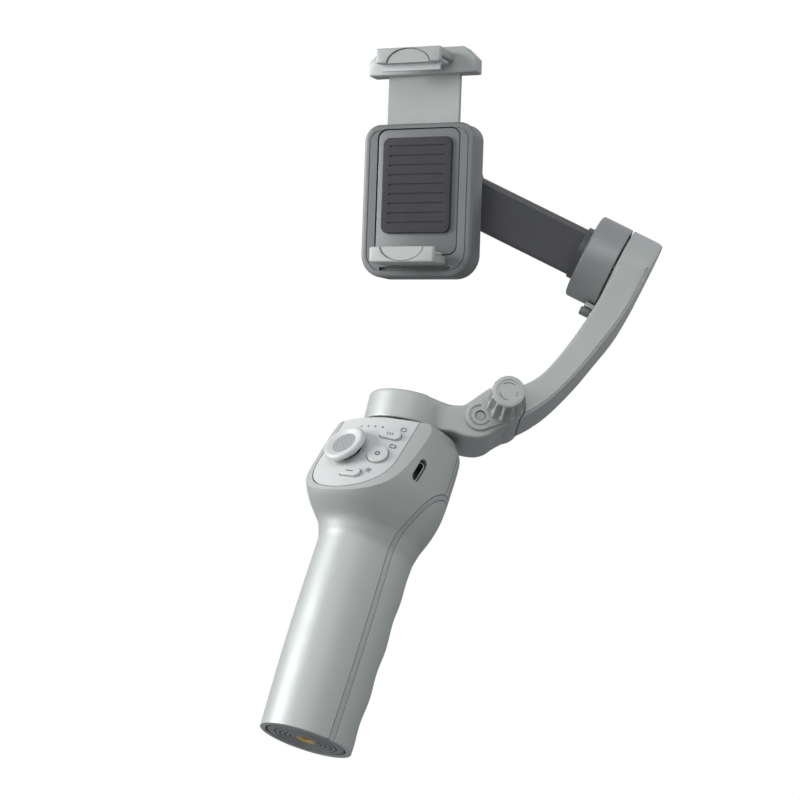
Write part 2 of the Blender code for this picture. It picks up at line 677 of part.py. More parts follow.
def build_long_arm(carrier):
    body = strap("long_arm", STRAP, ARM_HALF, 0.0, 2)
    end = turned("end", [(0, -ARM_END), (MOTOR_R - 1.2, -ARM_END), (MOTOR_R, -ARM_END + 1.2),
                         (MOTOR_R, -GAP), (0, -GAP)], 40)
    join(body, moved(end, MOTOR_IN_ARM))
    cover = keep(copy(body, "arm_back_cover"), cover_region("cover_part", 0.0))
    cut(body, cover_region("cover_way", GAP), strap("hollow", STRAP[2:7], ARM_HALF, 2.2, 2),
        moved(disc("motor_well", 12.0, -ARM_END + 2.0, -4.0, 32), MOTOR_IN_ARM),
        prism("knuckle", arc(HINGE, LUG_R + 0.4, 0, 360, 28)[:-1], -60, 60, "y"))
    tongue = prism("tongue", arc(HINGE, LUG_R, 0, 360, 32)[:-1], -TONGUE_HALF, TONGUE_HALF, "y")
    join(body, join(tongue, strap("root", KNUCKLE, TONGUE_HALF, 0.0, 2, 0.4)))
    cut(body, moved(disc("pin_way", 3.1, -40, 40, 20), hinge_axis()),
        moved(disc("hub_hole", 3.9, -ARM_END + 1.9, 5, 20), MOTOR_IN_ARM))
    place(body, carrier, "shell", PAN)
    cut(cover, strap("cover_hollow", STRAP[2:7], ARM_HALF, 2.2, 2))
    place(cover, carrier, "shell", PAN)

    tab = box("tilt_stop_tab", (-21.4, -2.6, 0.1), (-19.3, 2.6, 4.4))
    place(moved(tab, MOTOR_IN_ARM), carrier, "shell", PAN)
    bumper = box("tilt_stop_bumper", (-24.4, -2.2, 0.8), (-21.7, 2.2, 5.2))
    place(moved(rounded(bumper, 0.5), MOTOR_IN_ARM), carrier, "rubber", PAN)
    core = stator("tilt_motor_stator", 4.4, 11.8, 1.2, 9.4)
    place(moved(core, MOTOR_IN_ARM), carrier, "copper", PAN)
    bearing = ring("tilt_bearing", 3.05, 3.75, -9.0, -4.2, 24)
    place(moved(bearing, MOTOR_IN_ARM), carrier, "steel", PAN)
    middle = smooth([((a + c) / 2, (b + d) / 2) for a, b, c, d, _ in STRAP[3:6]])
    band = [(x - 0.3, z) for x, z in middle] + [(x + 0.3, z) for x, z in reversed(middle)]
    place(prism("arm_flex_cable", band, -4.0, 4.0, "y"), carrier, "copper", PAN)


# ---------------------------------------------------------------- tilt body: rotor, link and roll motor

def build_tilt(carrier):
    can = turned("tilt_motor_can", [(3.3, MOTOR_H - 2.0), (16.6, MOTOR_H - 2.0), (16.6, 0.5),
                                    (MOTOR_R, 0.5), (MOTOR_R, MOTOR_H - 1.4),
                                    (MOTOR_R - 1.4, MOTOR_H), (3.3, MOTOR_H)], 40)
    place(can, carrier, "shell_dark")
    place(ring("tilt_magnet_ring", 12.4, 16.3, 1.0, 9.6, 32), carrier, "magnet")
    place(disc("tilt_shaft", 3.0, -9.6, MOTOR_H - 0.2, 20), carrier, "steel")
    build_link(carrier)


def build_link(carrier):
    """The strap behind the phone, with the roll motor's can at its end."""
    low, high = MOTOR_H + 0.4, ROLL_AT[2] - 6.0
    bar = prism("link_arm", rounded_box(-LINK_HALF, LINK_FRONT, LINK_HALF, LINK_REAR, 2.0, 3), low, high)
    at_roll = shift(*ROLL_AT) @ turn("X", ROLL_CANT) @ turn("X", -90)
    can = turned("can", [(0, ROLL_FRONT), (ROLL_R, ROLL_FRONT), (ROLL_R, ROLL_BACK - 1.4),
                         (ROLL_R - 1.4, ROLL_BACK), (0, ROLL_BACK)], 44)
    cut(bar, moved(disc("cap_way", ROLL_R - 2.6, ROLL_BACK - 1.0, ROLL_BACK + 8.0, 36), at_roll))
    join(bar, moved(can, at_roll), disc("foot", 13.0, low - 0.1, low + 2.5, 36))
    cut(bar, moved(disc("bore", ROLL_R - 1.8, ROLL_FRONT - 5, ROLL_BACK - 5.0, 36), at_roll))
    place(bar, carrier, "shell_dark")
    cap = turned("roll_motor_cap", [(0, ROLL_BACK + GAP), (ROLL_R - 3.0, ROLL_BACK + GAP),
                                    (ROLL_R - 3.6, ROLL_BACK + 1.1), (0, ROLL_BACK + 1.4)], 36)
    place(moved(cap, at_roll), carrier, "shell_dark")
    core = stator("roll_motor_stator", 3.9, 10.0, ROLL_FRONT + 4.5, ROLL_BACK - 6.0)
    place(moved(core, at_roll), carrier, "copper")


# ---------------------------------------------------------------- clamp

def build_clamp(carrier):
    """The clamp's fixed half, in the clamp's frame: x right, y away from the viewer, z up."""
    outline = rounded_box(-BODY_HALF, BODY_LOW, BODY_HALF, BODY_HIGH, (10, 7, 7, 10))
    body = rounded(prism("clamp_body", outline, BODY_FRONT, BODY_BACK, "y"), 1.0)
    inner = rounded_box(-BODY_HALF + 2.4, BODY_LOW + 2.4, BODY_HALF - 2.4, 50, 6)
    opening = rounded_box(-FACE_HALF, FACE_LOW, FACE_HALF, FACE_HIGH, 4)
    cut(body, prism("inside", inner, BODY_FRONT + 2.4, BODY_BACK - 2.2, "y"),
        prism("face_way", opening, 0, BODY_FRONT + 4, "y"),
        box("jaw_gap", (-15.9, 0, -39.4), (15.9, BODY_FRONT + 1.6, -38.0)),
        prism("hub", arc((0, 0), 3.3, 0, 360, 20)[:-1], 10, 40, "y"))
    place(body, carrier, "shell_dark")

    edge = rounded_box(0.4 - FACE_HALF, FACE_LOW + 0.4, FACE_HALF - 0.4, FACE_HIGH - 0.4, 4)
    plate = prism("clamp_face_plate", edge, BODY_FRONT + 0.3, BODY_FRONT + 2.1, "y")
    place(plate, carrier, "shell_dark")
    pad = prism("back_pad", rounded_box(-15.5, -24.0, 15.5, BODY_HIGH - 6.0, 3), 8.4, BODY_FRONT, "y")
    place(rounded(pad, 0.4, 1), carrier, "rubber")

    jaw = jaw_bracket("lower_jaw", PHONE_LOW - 1.5, PHONE_LOW - 5.0, PHONE_LOW + 1.5, BODY_FRONT - GAP)
    place(jaw, carrier, "shell")
    place(jaw_pad("lower_jaw_pad", PHONE_LOW, -1.2, PHONE_LOW + 1.2), carrier, "rubber")

    for side, name in ((-1, "guide_rod_left"), (1, "guide_rod_right")):
        rod = disc(name, 1.2, BODY_LOW + 5.0, BODY_HIGH - 1.0, 12)
        place(moved(rod, shift(side * ROD_AT[0], ROD_AT[1], 0)), carrier, "steel")
    back = turn("X", -90)
    shaft = disc("roll_shaft", 3.0, BODY_BACK - 2.0, ROLL_BACK - 5.6, 20)
    place(moved(shaft, back), carrier, "steel")
    magnets = ring("roll_magnet_ring", 10.5, 14.2, BODY_BACK + GAP, ROLL_BACK - 7.0, 32)
    place(moved(magnets, back), carrier, "magnet")


def jaw_bracket(name, inner, outer, lip, root_y):
    """A jaw: inner and outer face of its shelf, its lip's free edge, and where its shelf ends."""
    way = 1 if lip > outer else -1
    profile = [(JAW_REACH, outer), (root_y, outer), (root_y, inner), (JAW_REACH + LIP_THICK, inner),
               (JAW_REACH + LIP_THICK, lip), (JAW_REACH, lip)]
    jaw = rounded(prism(name, profile, -JAW_HALF, JAW_HALF, "x"), 0.7)
    arch = [(x, lip + (z - lip) * 0.62) for x, z in arc((0, lip), 9.8, 0, -180 * way, 14)]
    return cut(jaw, prism("arch", arch, JAW_REACH - 1, JAW_REACH + 0.6, "y"))


def jaw_pad(name, face, thick, lip):
    """A rubber pad with an L section, under a jaw's shelf and behind its lip."""
    low_lip = JAW_REACH + LIP_THICK + GAP
    profile = [(low_lip, face + thick), (7.4, face + thick), (7.4, face), (low_lip + 1.4, face),
               (low_lip + 1.4, lip), (low_lip, lip)]
    return prism(name, profile, -JAW_HALF + 1.2, JAW_HALF - 1.2, "x")


def build_slider(carrier):
    """The sprung upper jaw and the plate that slides in the clamp body."""
    jaw = jaw_bracket("upper_jaw", PHONE_HIGH + 1.6, PHONE_HIGH + 5.4, PHONE_HIGH - 1.0, 13.0)
    head = prism("head", [(-24.0, 42.5), (24.0, 42.5), (24.0, 48.5), (18.6, 53.6), (-18.6, 53.6),
                          (-24.0, 48.5)], 10.0, BODY_BACK - 3.6, "y")
    stem = box("stem", (-16.0, 13.2, -6.0), (16.0, 15.6, 44.0))
    feet = box("feet", (-21.4, 13.2, -6.0), (21.4, 18.2, 2.0))
    join(jaw, rounded(head, 0.8), stem, feet)
    for side in (-1, 1):
        cut(jaw, moved(disc("rod_way", 1.5, -20, 20, 12), shift(side * ROD_AT[0], ROD_AT[1], 0)))
    place(jaw, carrier, "shell")
    place(jaw_pad("upper_jaw_pad", PHONE_HIGH, 1.3, PHONE_HIGH - 3.8), carrier, "rubber")


def spring(name, radius, wire, low, high, turns):
    """An extension spring: a wire wound into a helix."""
    rings, steps, up = [], 8 * turns, Vector((0, 0, 1))
    for i in range(steps + 1):
        angle = 2 * math.pi * i / 8
        out = Vector((math.cos(angle), math.sin(angle), 0))
        centre = out * radius + up * (low + (high - low) * i / steps)
        rings.append([centre + (out * math.cos(a) + up * math.sin(a)) * wire
                      for a in [math.pi * k / 2 for k in range(4)]])
    return loft(name, rings)


def build_springs(carrier):
    for side, name in ((-1, "clamp_spring_left"), (1, "clamp_spring_right")):
        coil = spring(name, 1.7, 0.3, BODY_LOW + 4.0, -7.0, 6)
        place(moved(coil, shift(side * 9.0, 15.6, 0)), carrier, "steel")


# ---------------------------------------------------------------- the whole gimbal

def main():
    for obj in list(bpy.data.objects):
        bpy.data.objects.remove(obj)
    root = pivot("handle", Matrix.Identity(4))
    build_shells(root)
    build_panel(root)
    build_base(root)
    build_inside(root)

    stick = on_panel(JOYSTICK_AT) @ shift(0, 0, JOYSTICK_PIVOT)
    side_tilt = pivot("joystick_side_pivot", stick, root)
    build_joystick(side_tilt, pivot("joystick_up_pivot", stick, side_tilt))
    build_button("mode_button", pivot("mode_slide", on_panel(MODE_AT), root), pill(*PILL, 6))
    build_button("power_button", pivot("power_slide", on_panel(POWER_AT), root), pill(*PILL, 6))
    build_button("record_button", pivot("record_slide", on_panel(RECORD_AT), root),
                 arc((0, 0), RECORD_R, 0, 360, 28)[:-1])

    pan = pivot("pan_pivot", PAN, root)
    build_pan_arm(pan)
    fold = pivot("fold_pivot", FOLD, pan)
    build_long_arm(fold)
    build_knob(pivot("knob_pivot", FOLD, pan))
    tilt = pivot("tilt_pivot", TILT, fold)
    build_tilt(tilt)
    roll = pivot("roll_pivot", CLAMP, tilt)
    build_clamp(roll)
    build_slider(pivot("jaw_slide", CLAMP, roll))
    build_springs(roll)


main()
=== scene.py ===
"""Looks of the folding phone gimbal: fine surfaces, marks and materials on the shared frame.

Shapes are modelled in millimetres, in the frame of the joint that carries them, and are scaled to
metres when they are shown. Their frames come from the part's joints, so each skin lies where its
own joint puts it.
"""

import json
import math

import bmesh
import bpy
import numpy as np
from mathutils import Matrix, Vector


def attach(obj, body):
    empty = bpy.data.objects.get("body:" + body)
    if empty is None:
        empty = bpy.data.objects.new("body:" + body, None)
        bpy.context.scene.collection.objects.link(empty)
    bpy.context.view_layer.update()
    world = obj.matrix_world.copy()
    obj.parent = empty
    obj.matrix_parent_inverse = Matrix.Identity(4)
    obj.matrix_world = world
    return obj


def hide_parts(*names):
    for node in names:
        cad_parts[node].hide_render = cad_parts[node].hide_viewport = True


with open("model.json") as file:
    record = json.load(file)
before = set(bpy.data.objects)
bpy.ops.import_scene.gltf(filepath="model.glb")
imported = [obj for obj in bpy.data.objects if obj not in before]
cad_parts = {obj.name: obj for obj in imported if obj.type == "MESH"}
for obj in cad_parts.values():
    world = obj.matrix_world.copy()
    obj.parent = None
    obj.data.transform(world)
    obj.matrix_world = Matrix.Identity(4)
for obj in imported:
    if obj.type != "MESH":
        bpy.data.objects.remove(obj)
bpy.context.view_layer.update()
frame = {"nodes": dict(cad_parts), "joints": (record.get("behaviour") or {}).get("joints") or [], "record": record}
JOINTS = {joint["name"]: joint for joint in frame["joints"]}

MM = 0.001
GAP = 0.3                      # between neighbouring pieces
FAR = 60.0                     # well outside the handle, for cutting tools

# Handle
BASE_R = 18.5
WALL = 2.2
PAN_LEAN = 7.0
SEAM_Y = -5.2
TRIM_WIDTH = 2.3
GRIP_TOP_Z = 108.0
GRIP_CURVE_Z = 85.0
GRIP_END_Z = 78.0              # where the grip's own stations end and the head's begin
SPINE_Y = 10.0
SPINE_LINE = (6.5, 7.1)        # a second groove, in front of the spine
LINE_DEPTH = 0.5
WAVE_PITCH = 21.0
WAVE_DEPTH = 1.5
WAVE_PEAK_Z = 23.0
SEAT_R = 18.7                  # flat seat of the pan drum; the top falls away outside it
SEAT_DROP = 1.5
USB_AT = (21.6, -12.6, 110.5)
USB_HOLE = (10.4, 3.9)
SCREW_AT = (19.4, 15.2, 114.5)
SCREW_R = 1.7

# Control panel
PANEL_ORIGIN = (0.0, -20.5, 134.0)
PANEL_R = 45.0
PANEL_HALF = 20.2
PANEL_STRAIGHT = -23.0
PANEL_TOP = 6.0
PANEL_THICK = 2.4
JOYSTICK_AT = (-2.7, -22.9)
JOYSTICK_DECK = 5.0            # from the stick's pivot up to the panel
MODE_AT = (11.8, -12.5)
RECORD_AT = (11.7, -23.6)
RECORD_R = 4.25
PILL = (9.4, 4.1)
POWER_AT = (4.7, -34.8)
LIGHTS_AT = (1.2, -9.0)
LIGHT_SPREAD = (-5.3, -1.8, 1.7, 5.2)
BUTTON_PROUD = 0.9

# Arms and motors
DRUM_R = 18.3
DRUM_H = 12.5
ARM_HALF = 14.0
NECK_BACK = 17.5
STOP_PIN = (28.4, 9.4)
STOP_PIN_R = 2.2
KNOB_TOP = 32.6
KNOB_FLUTES = 12
LUG_R = 8.1
PIN_WAY_R = 3.1
TONGUE_HALF = 5.0
MOTOR_R = 18.5
MOTOR_H = 14.4
ARM_END = 13.8
ROLL_R = 16.5
ROLL_FRONT = 22.5
ROLL_BACK = 46.0
LINK_HALF = 10.4
LINK_FRONT = -7.0
LINK_REAR = 2.6
LINK_FOOT_R = 11.6

# Clamp
BODY_HALF = 24.7
BODY_LOW = -42.3
BODY_HIGH = 22.0
BODY_FRONT = 9.6
BODY_BACK = 21.6
FACE_HALF = 18.6
FACE_LOW = -33.3
FACE_HIGH = 20.0
JAW_HALF = 14.3
JAW_REACH = -5.0
LIP_THICK = 2.8
PHONE_LOW = -32.5
PHONE_HIGH = 45.5
ARCH_R = 9.8
STEM = (16.0, 13.2, 15.6)      # the slider's half width, front and back
ROD_AT = (19.6, 16.0)
SPRING_X = 9.0


# ---------------------------------------------------------------- mesh helpers

def solid(name, points, faces):
    """A mesh object from points in millimetres, with its faces turned outwards."""
    mesh = bpy.data.meshes.new(name)
    mesh.from_pydata([tuple(p) for p in points], [], faces)
    work = bmesh.new()
    work.from_mesh(mesh)
    bmesh.ops.recalc_face_normals(work, faces=work.faces)
    work.to_mesh(mesh)
    work.free()
    obj = bpy.data.objects.new(name, mesh)
    bpy.context.scene.collection.objects.link(obj)
    return obj


def loft(name, rings):
    """A solid skinned over rings of equal length, closed at both ends."""
    count = len(rings[0])
    points = [p for ring in rings for p in ring]
    faces = [tuple(range(count)), tuple(range(len(points) - count, len(points)))]
    for low in range(0, len(points) - count, count):
        for i in range(count):
            j = (i + 1) % count
            faces.append((low + i, low + j, low + count + j, low + count + i))
    return solid(name, points, faces)


def prism(name, outline, low, high, axis="z"):
    """An outline pushed along an axis: (x, y) along z, (y, z) along x, or (x, z) along y."""
    at = {"z": lambda a, b, h: (a, b, h),
          "x": lambda a, b, h: (h, a, b),
          "y": lambda a, b, h: (a, h, b)}[axis]
    return loft(name, [[at(a, b, h) for a, b in outline] for h in (low, high)])


def box(name, low, high):
    (x0, y0, z0), (x1, y1, z1) = low, high
    return prism(name, [(x0, y0), (x1, y0), (x1, y1), (x0, y1)], z0, z1)


def turned(name, profile, steps=128):
    """A solid turned about z from (radius, height) points, closed on the axis or as a ring."""
    points, loops = [], []
    for radius, height in profile:
        count = 1 if radius < 1e-6 else steps
        loops.append([len(points) + i for i in range(count)])
        for i in range(count):
            angle = 2 * math.pi * i / steps
            points.append((radius * math.cos(angle), radius * math.sin(angle), height))
    pairs = list(zip(loops, loops[1:]))
    if len(loops[0]) > 1:
        pairs.append((loops[-1], loops[0]))
    faces = []
    for a, b in pairs:
        for i in range(steps):
            j = (i + 1) % steps
            corners = [a[i % len(a)], a[j % len(a)], b[j % len(b)], b[i % len(b)]]
            faces.append(tuple(dict.fromkeys(corners)))
    return solid(name, points, faces)


def disc(name, radius, low, high, steps=96):
    return turned(name, [(0, low), (radius, low), (radius, high), (0, high)], steps)


def applied(obj):
    """Make an object's modifiers permanent."""
    bpy.context.view_layer.update()
    shape = obj.evaluated_get(bpy.context.evaluated_depsgraph_get())
    mesh = bpy.data.meshes.new_from_object(shape)
    obj.modifiers.clear()
    obj.data = mesh
    return obj


def combine(target, tools, operation):
    """Apply each tool to the target in turn; the tools are used up."""
    for tool in tools:
        step = target.modifiers.new(operation, "BOOLEAN")
        step.operation = operation
        step.solver = "MANIFOLD"
        step.object = tool
        applied(target)
        bpy.data.objects.remove(tool)
    return target


def cut(target, *tools):
    return combine(target, tools, "DIFFERENCE")


def join(target, *tools):
    return combine(target, tools, "UNION")


def keep(target, *tools):
    return combine(target, tools, "INTERSECT")


def rounded(obj, width, segments=3, angle=35.0):
    """Round the edges; points that a cut left almost on top of each other are merged first."""
    work = bmesh.new()
    work.from_mesh(obj.data)
    bmesh.ops.remove_doubles(work, verts=work.verts, dist=0.02)
    bmesh.ops.dissolve_degenerate(work, edges=work.edges, dist=0.01)
    flat = math.radians(1.0)
    bmesh.ops.dissolve_limit(work, angle_limit=flat, verts=work.verts, edges=work.edges)
    work.to_mesh(obj.data)
    work.free()
    step = obj.modifiers.new("round", "BEVEL")
    step.width = width
    step.segments = segments
    step.limit_method = "ANGLE"
    step.angle_limit = math.radians(angle)
    step.use_clamp_overlap = False
    step.harden_normals = False
    return applied(obj)


def moved(obj, matrix):
    obj.data.transform(matrix)
    return obj


def copy(obj, name):
    twin = bpy.data.objects.new(name, obj.data.copy())
    bpy.context.scene.collection.objects.link(twin)
    return twin


def remeshed(obj, voxel):
    step = obj.modifiers.new("skin", "REMESH")
    step.mode = "VOXEL"
    step.voxel_size = voxel
    step.use_smooth_shade = True
    return applied(obj)


def relaxed(obj, weight, rounds):
    """Smooth a mesh where weight(points) is above 0, so that joined shapes flow together."""
    mesh = obj.data
    points = np.zeros(len(mesh.vertices) * 3)
    mesh.vertices.foreach_get("co", points)
    points = points.reshape(-1, 3)
    ends = np.zeros(len(mesh.edges) * 2, int)
    mesh.edges.foreach_get("vertices", ends)
    a, b = ends.reshape(-1, 2).T
    count = np.bincount(np.concatenate([a, b]), minlength=len(points))[:, None]
    share = weight(points)[:, None]
    for _ in range(rounds):
        total = np.zeros_like(points)
        np.add.at(total, a, points[b])
        np.add.at(total, b, points[a])
        points += 0.5 * share * (total / count - points)
    mesh.vertices.foreach_set("co", points.ravel())
    mesh.update()
    return obj


# ---------------------------------------------------------------- outlines

def arc(centre, radius, start, end, steps):
    turns = [math.radians(start + (end - start) * i / steps) for i in range(steps + 1)]
    return [(centre[0] + radius * math.cos(a), centre[1] + radius * math.sin(a)) for a in turns]


def angles(count):
    return [2 * math.pi * i / count for i in range(count)]


def circle(centre, radius, steps=72):
    return arc(centre, radius, 0, 360, steps)[:-1]


def pill(length, width, steps=20, centre=(0.0, 0.0)):
    side, end = (length - width) / 2, width / 2
    right = arc((centre[0] + side, centre[1]), end, -90, 90, steps)
    return right + arc((centre[0] - side, centre[1]), end, 90, 270, steps)


def rounded_box(x0, z0, x1, z1, radius, steps=12):
    """A rectangle with round corners; radius may be one number or one for each corner."""
    radii = radius if isinstance(radius, tuple) else (radius,) * 4
    corners = [(x1, z0, -90), (x1, z1, 0), (x0, z1, 90), (x0, z0, 180)]
    points = []
    for (x, z, start), r in zip(corners, radii):
        cx = x - r if x == x1 else x + r
        cz = z - r if z == z1 else z + r
        points += arc((cx, cz), r, start, start + 90, steps)
    return points


def smooth(knots, steps=6):
    """A curve through knots (Catmull-Rom), for outlines and stations of any length."""
    ends = [[2 * a - b for a, b in zip(knots[0], knots[1])], *knots,
            [2 * a - b for a, b in zip(knots[-1], knots[-2])]]
    points = []
    for p0, p1, p2, p3 in zip(ends, ends[1:], ends[2:], ends[3:]):
        for i in range(steps):
            t = i / steps
            points.append(tuple(
                0.5 * (2 * b + (c - a) * t + (2 * a - 5 * b + 4 * c - d) * t * t
                       + (3 * b - a - 3 * c + d) * t ** 3)
                for a, b, c, d in zip(p0, p1, p2, p3)))
    return points + [tuple(knots[-1])]


# ---------------------------------------------------------------- frames

def turn(axis, degrees):
    return Matrix.Rotation(math.radians(degrees), 4, axis)


def shift(x, y, z):
    return Matrix.Translation((x, y, z))


def axis_of(joint):
    return Vector(JOINTS[joint]["axis"]).normalized()


def centre_of(joint):
    return Vector(JOINTS[joint]["pos_m"]) / MM


def frame_at(origin, y, z):
    """A frame in millimetres; z is kept, and y is turned square to it."""
    x = y.cross(z).normalized()
    return Matrix.Translation(origin) @ Matrix((x, z.cross(x), z)).transposed().to_4x4()


HANDLE = Matrix.Identity(4)
PAN = frame_at(centre_of("pan"), -axis_of("fold"), axis_of("pan"))
PAN_SEAT = frame_at(centre_of("pan"), Vector((0, 1, 0)), axis_of("pan"))
HINGE_3D = PAN.inverted() @ centre_of("fold")
HINGE = (HINGE_3D.x, HINGE_3D.z)
ARM_MOTOR = frame_at(centre_of("tilt"), -axis_of("fold"), axis_of("tilt"))
MOTOR_IN_ARM = PAN.inverted() @ ARM_MOTOR
TILT = frame_at(centre_of("tilt"), axis_of("roll"), axis_of("tilt"))
CLAMP = frame_at(centre_of("roll"), axis_of("roll"), axis_of("jaw"))
PANEL_UP = axis_of("joystick_side")
PANEL = frame_at(Vector(PANEL_ORIGIN), PANEL_UP, Vector((1, 0, 0)).cross(PANEL_UP))
ROLL_SIDE = axis_of("roll").cross(axis_of("tilt")).normalized()
ROLL_MOTOR = frame_at(centre_of("roll"), axis_of("roll"), ROLL_SIDE.cross(axis_of("roll")))
ROLL_IN_TILT = TILT.inverted() @ ROLL_MOTOR


def on_panel(at, height=0.0):
    """The frame of a place on the curved panel, z along the panel's outward normal there."""
    angle = at[0] / PANEL_R
    lift = PANEL_R + height
    spot = shift(lift * math.sin(angle), at[1], lift * math.cos(angle) - PANEL_R)
    return PANEL @ spot @ turn("Y", math.degrees(angle))


# ---------------------------------------------------------------- materials

def shader(name):
    made = bpy.data.materials.new(name)
    made.use_nodes = True
    return made, made.node_tree.nodes, made.node_tree.links


def noise(nodes, links, scale, detail=2.0, stretch=None):
    """A noise in the object's own metres."""
    where = nodes.new("ShaderNodeTexCoord")
    made = nodes.new("ShaderNodeTexNoise")
    made.inputs["Scale"].default_value = scale
    made.inputs["Detail"].default_value = detail
    source = where.outputs["Object"]
    if stretch:
        mapping = nodes.new("ShaderNodeMapping")
        mapping.inputs["Scale"].default_value = stretch
        links.new(source, mapping.inputs["Vector"])
        source = mapping.outputs["Vector"]
    links.new(source, made.inputs["Vector"])
    return made.outputs["Fac"]


def ramp(nodes, links, source, low, high, start=0.3, end=0.7):
    made = nodes.new("ShaderNodeValToRGB")
    made.color_ramp.elements[0].position = start
    made.color_ramp.elements[1].position = end
    made.color_ramp.elements[0].color = (*low, 1.0)
    made.color_ramp.elements[1].color = (*high, 1.0)
    links.new(source, made.inputs["Fac"])
    return made.outputs["Color"]


def surface(name, colour, roughness, metallic=0.0, spread=0.05, grain=2600.0, bump=0.05,
            depth=0.00004, coat=0.0, stretch=None):
    """A moulded or machined surface: fine grain in colour and relief, and slow roughness changes."""
    made, nodes, links = shader(name)
    base = nodes["Principled BSDF"]
    base.inputs["Metallic"].default_value = metallic
    base.inputs["Coat Weight"].default_value = coat
    base.inputs["Coat Roughness"].default_value = 0.3
    fine = noise(nodes, links, grain, 3.0, stretch)
    darker = [c * (1 - spread) for c in colour]
    lighter = [min(1.0, c * (1 + spread)) for c in colour]
    links.new(ramp(nodes, links, fine, darker, lighter), base.inputs["Base Color"])
    slow = noise(nodes, links, 55.0, 2.0)
    rough = ramp(nodes, links, slow, [roughness - 0.04] * 3, [roughness + 0.04] * 3)
    links.new(rough, base.inputs["Roughness"])
    relief = nodes.new("ShaderNodeBump")
    relief.inputs["Strength"].default_value = bump
    relief.inputs["Distance"].default_value = depth
    links.new(fine, relief.inputs["Height"])
    links.new(relief.outputs["Normal"], base.inputs["Normal"])
    return made


SHELL = surface("satin_silver_shell", (0.43, 0.455, 0.445), 0.48, 0.2, 0.05)
# a darker copy of the shell: the seam trim's own darker tone, and painted shade on the upper jaw, which is the
# same plastic as the lower jaw
SHELL_TRIM_AND_SHADE = surface("satin_silver_trim_and_painted_shade", (0.38, 0.4, 0.395), 0.42, 0.22, 0.05)
DECK = surface("satin_deck", (0.56, 0.58, 0.575), 0.45, 0.1, 0.04)
CAN = surface("satin_grey_can", (0.29, 0.305, 0.308), 0.4, 0.25, 0.05)
DARK = surface("satin_graphite", (0.17, 0.178, 0.18), 0.42, 0.25, 0.06)
# painted shade: a darker copy of the dark plastic for the link arm, which lies in shade behind the phone
LINK_PAINTED_SHADE = surface("satin_link_painted_shade", (0.1, 0.101, 0.108), 0.4, 0.2, 0.08)
BLACK = surface("matt_black", (0.018, 0.018, 0.02), 0.6, 0.0, 0.2)
BASE = surface("matt_base", (0.25, 0.26, 0.262), 0.55, 0.0, 0.1, 1800.0, 0.12)
# dark print for the marks, and painted shade for the record button's dimple
MARK_AND_SHADE = surface("dark_marks_and_painted_shade", (0.12, 0.125, 0.125), 0.6)
RUBBER = surface("soft_rubber", (0.03, 0.03, 0.033), 0.75, 0.0, 0.2, 1500.0, 0.2, 0.0001)
PAD = surface("pale_rubber", (0.5, 0.52, 0.52), 0.65, 0.0, 0.06, 1500.0, 0.15, 0.0001)
STEEL = surface("turned_steel", (0.55, 0.55, 0.56), 0.3, 1.0, 0.08, 900.0, 0.08, 0.00003,
                stretch=(1, 1, 12))
BRASS = surface("turned_brass", (0.72, 0.55, 0.2), 0.28, 1.0, 0.1, 900.0, 0.08, 0.00003)
# the magnets' own nickel colour; also painted shade for the inside of the USB socket's slot
MAGNET_AND_SOCKET_SHADE = surface("nickel_magnet_and_painted_socket_shade", (0.3, 0.3, 0.31), 0.3, 1.0)
COPPER = surface("wound_copper", (0.6, 0.28, 0.12), 0.38, 1.0, 0.25, 2200.0, 0.5, 0.0002,
                 stretch=(1, 1, 6))
BOARD = surface("solder_mask", (0.02, 0.11, 0.05), 0.4, 0.0, 0.2, 600.0)
CELL = surface("cell_wrap", (0.03, 0.07, 0.2), 0.3, 0.0, 0.08, 500.0)
LENS = surface("milky_lens", (0.75, 0.78, 0.77), 0.25, 0.0, 0.03)
LOOKS = {"shell": SHELL, "shell_dark": DARK, "panel": DECK, "black_plastic": BLACK,
         "rubber": RUBBER, "steel": STEEL, "brass": BRASS, "magnet": MAGNET_AND_SOCKET_SHADE, "copper": COPPER,
         "board": BOARD, "cell": CELL, "lens": LENS}


def show(obj, name, local, body, look, slot, *nodes, soft=32.0):
    """Scale a finished piece to metres, give it its material and body, and hide what it replaces.

    Edges that bend by more than soft degrees stay sharp.
    """
    obj.name = name
    obj.data.transform(Matrix.Scale(MM, 4) @ local)
    obj.data.materials.clear()
    obj.data.materials.append(look)
    obj.data.shade_smooth()
    obj.data.set_sharp_from_angle(angle=math.radians(soft))
    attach(obj, body)
    if nodes:
        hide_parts(*nodes)
    return obj


def dress_frame():
    """Every node of the frame gets its own slot's material; the socket's steel gets the darker magnet material
    instead, painted shade for the inside of its slot.
    """
    for entry in frame["record"]["subparts"]:
        node = frame["nodes"][entry["node"]]
        # painted shade: the USB socket is darkened with the magnet material
        look = MAGNET_AND_SOCKET_SHADE if entry["node"] == "usb_socket" else LOOKS[entry["material_slot"]]
        node.data.materials.clear()
        node.data.materials.append(look)


# ---------------------------------------------------------------- handle

HEAD_LEVELS = [                # height, half width, front, back, squareness of the front
    (80.0, 19.6, 22.0, 18.6, 2.0),
    (85.0, 20.6, 24.6, 19.9, 2.05),
    (88.0, 21.6, 29.5, 20.9, 2.1),
    (91.0, 22.7, 33.8, 22.0, 2.2),
    (95.0, 23.8, 36.2, 23.4, 2.4),
    (100.0, 24.8, 37.0, 24.6, 2.7),
    (106.0, 25.3, 37.5, 25.3, 2.9),
    (116.0, 25.5, 38.0, 25.5, 3.0),
    (126.5, 25.3, 38.0, 25.3, 3.0),
    (130.0, 24.2, 37.0, 24.2, 3.0),
    (133.5, 22.0, 35.0, 22.0, 3.0),
    (137.5, 19.2, 32.0, 19.2, 3.0),
]


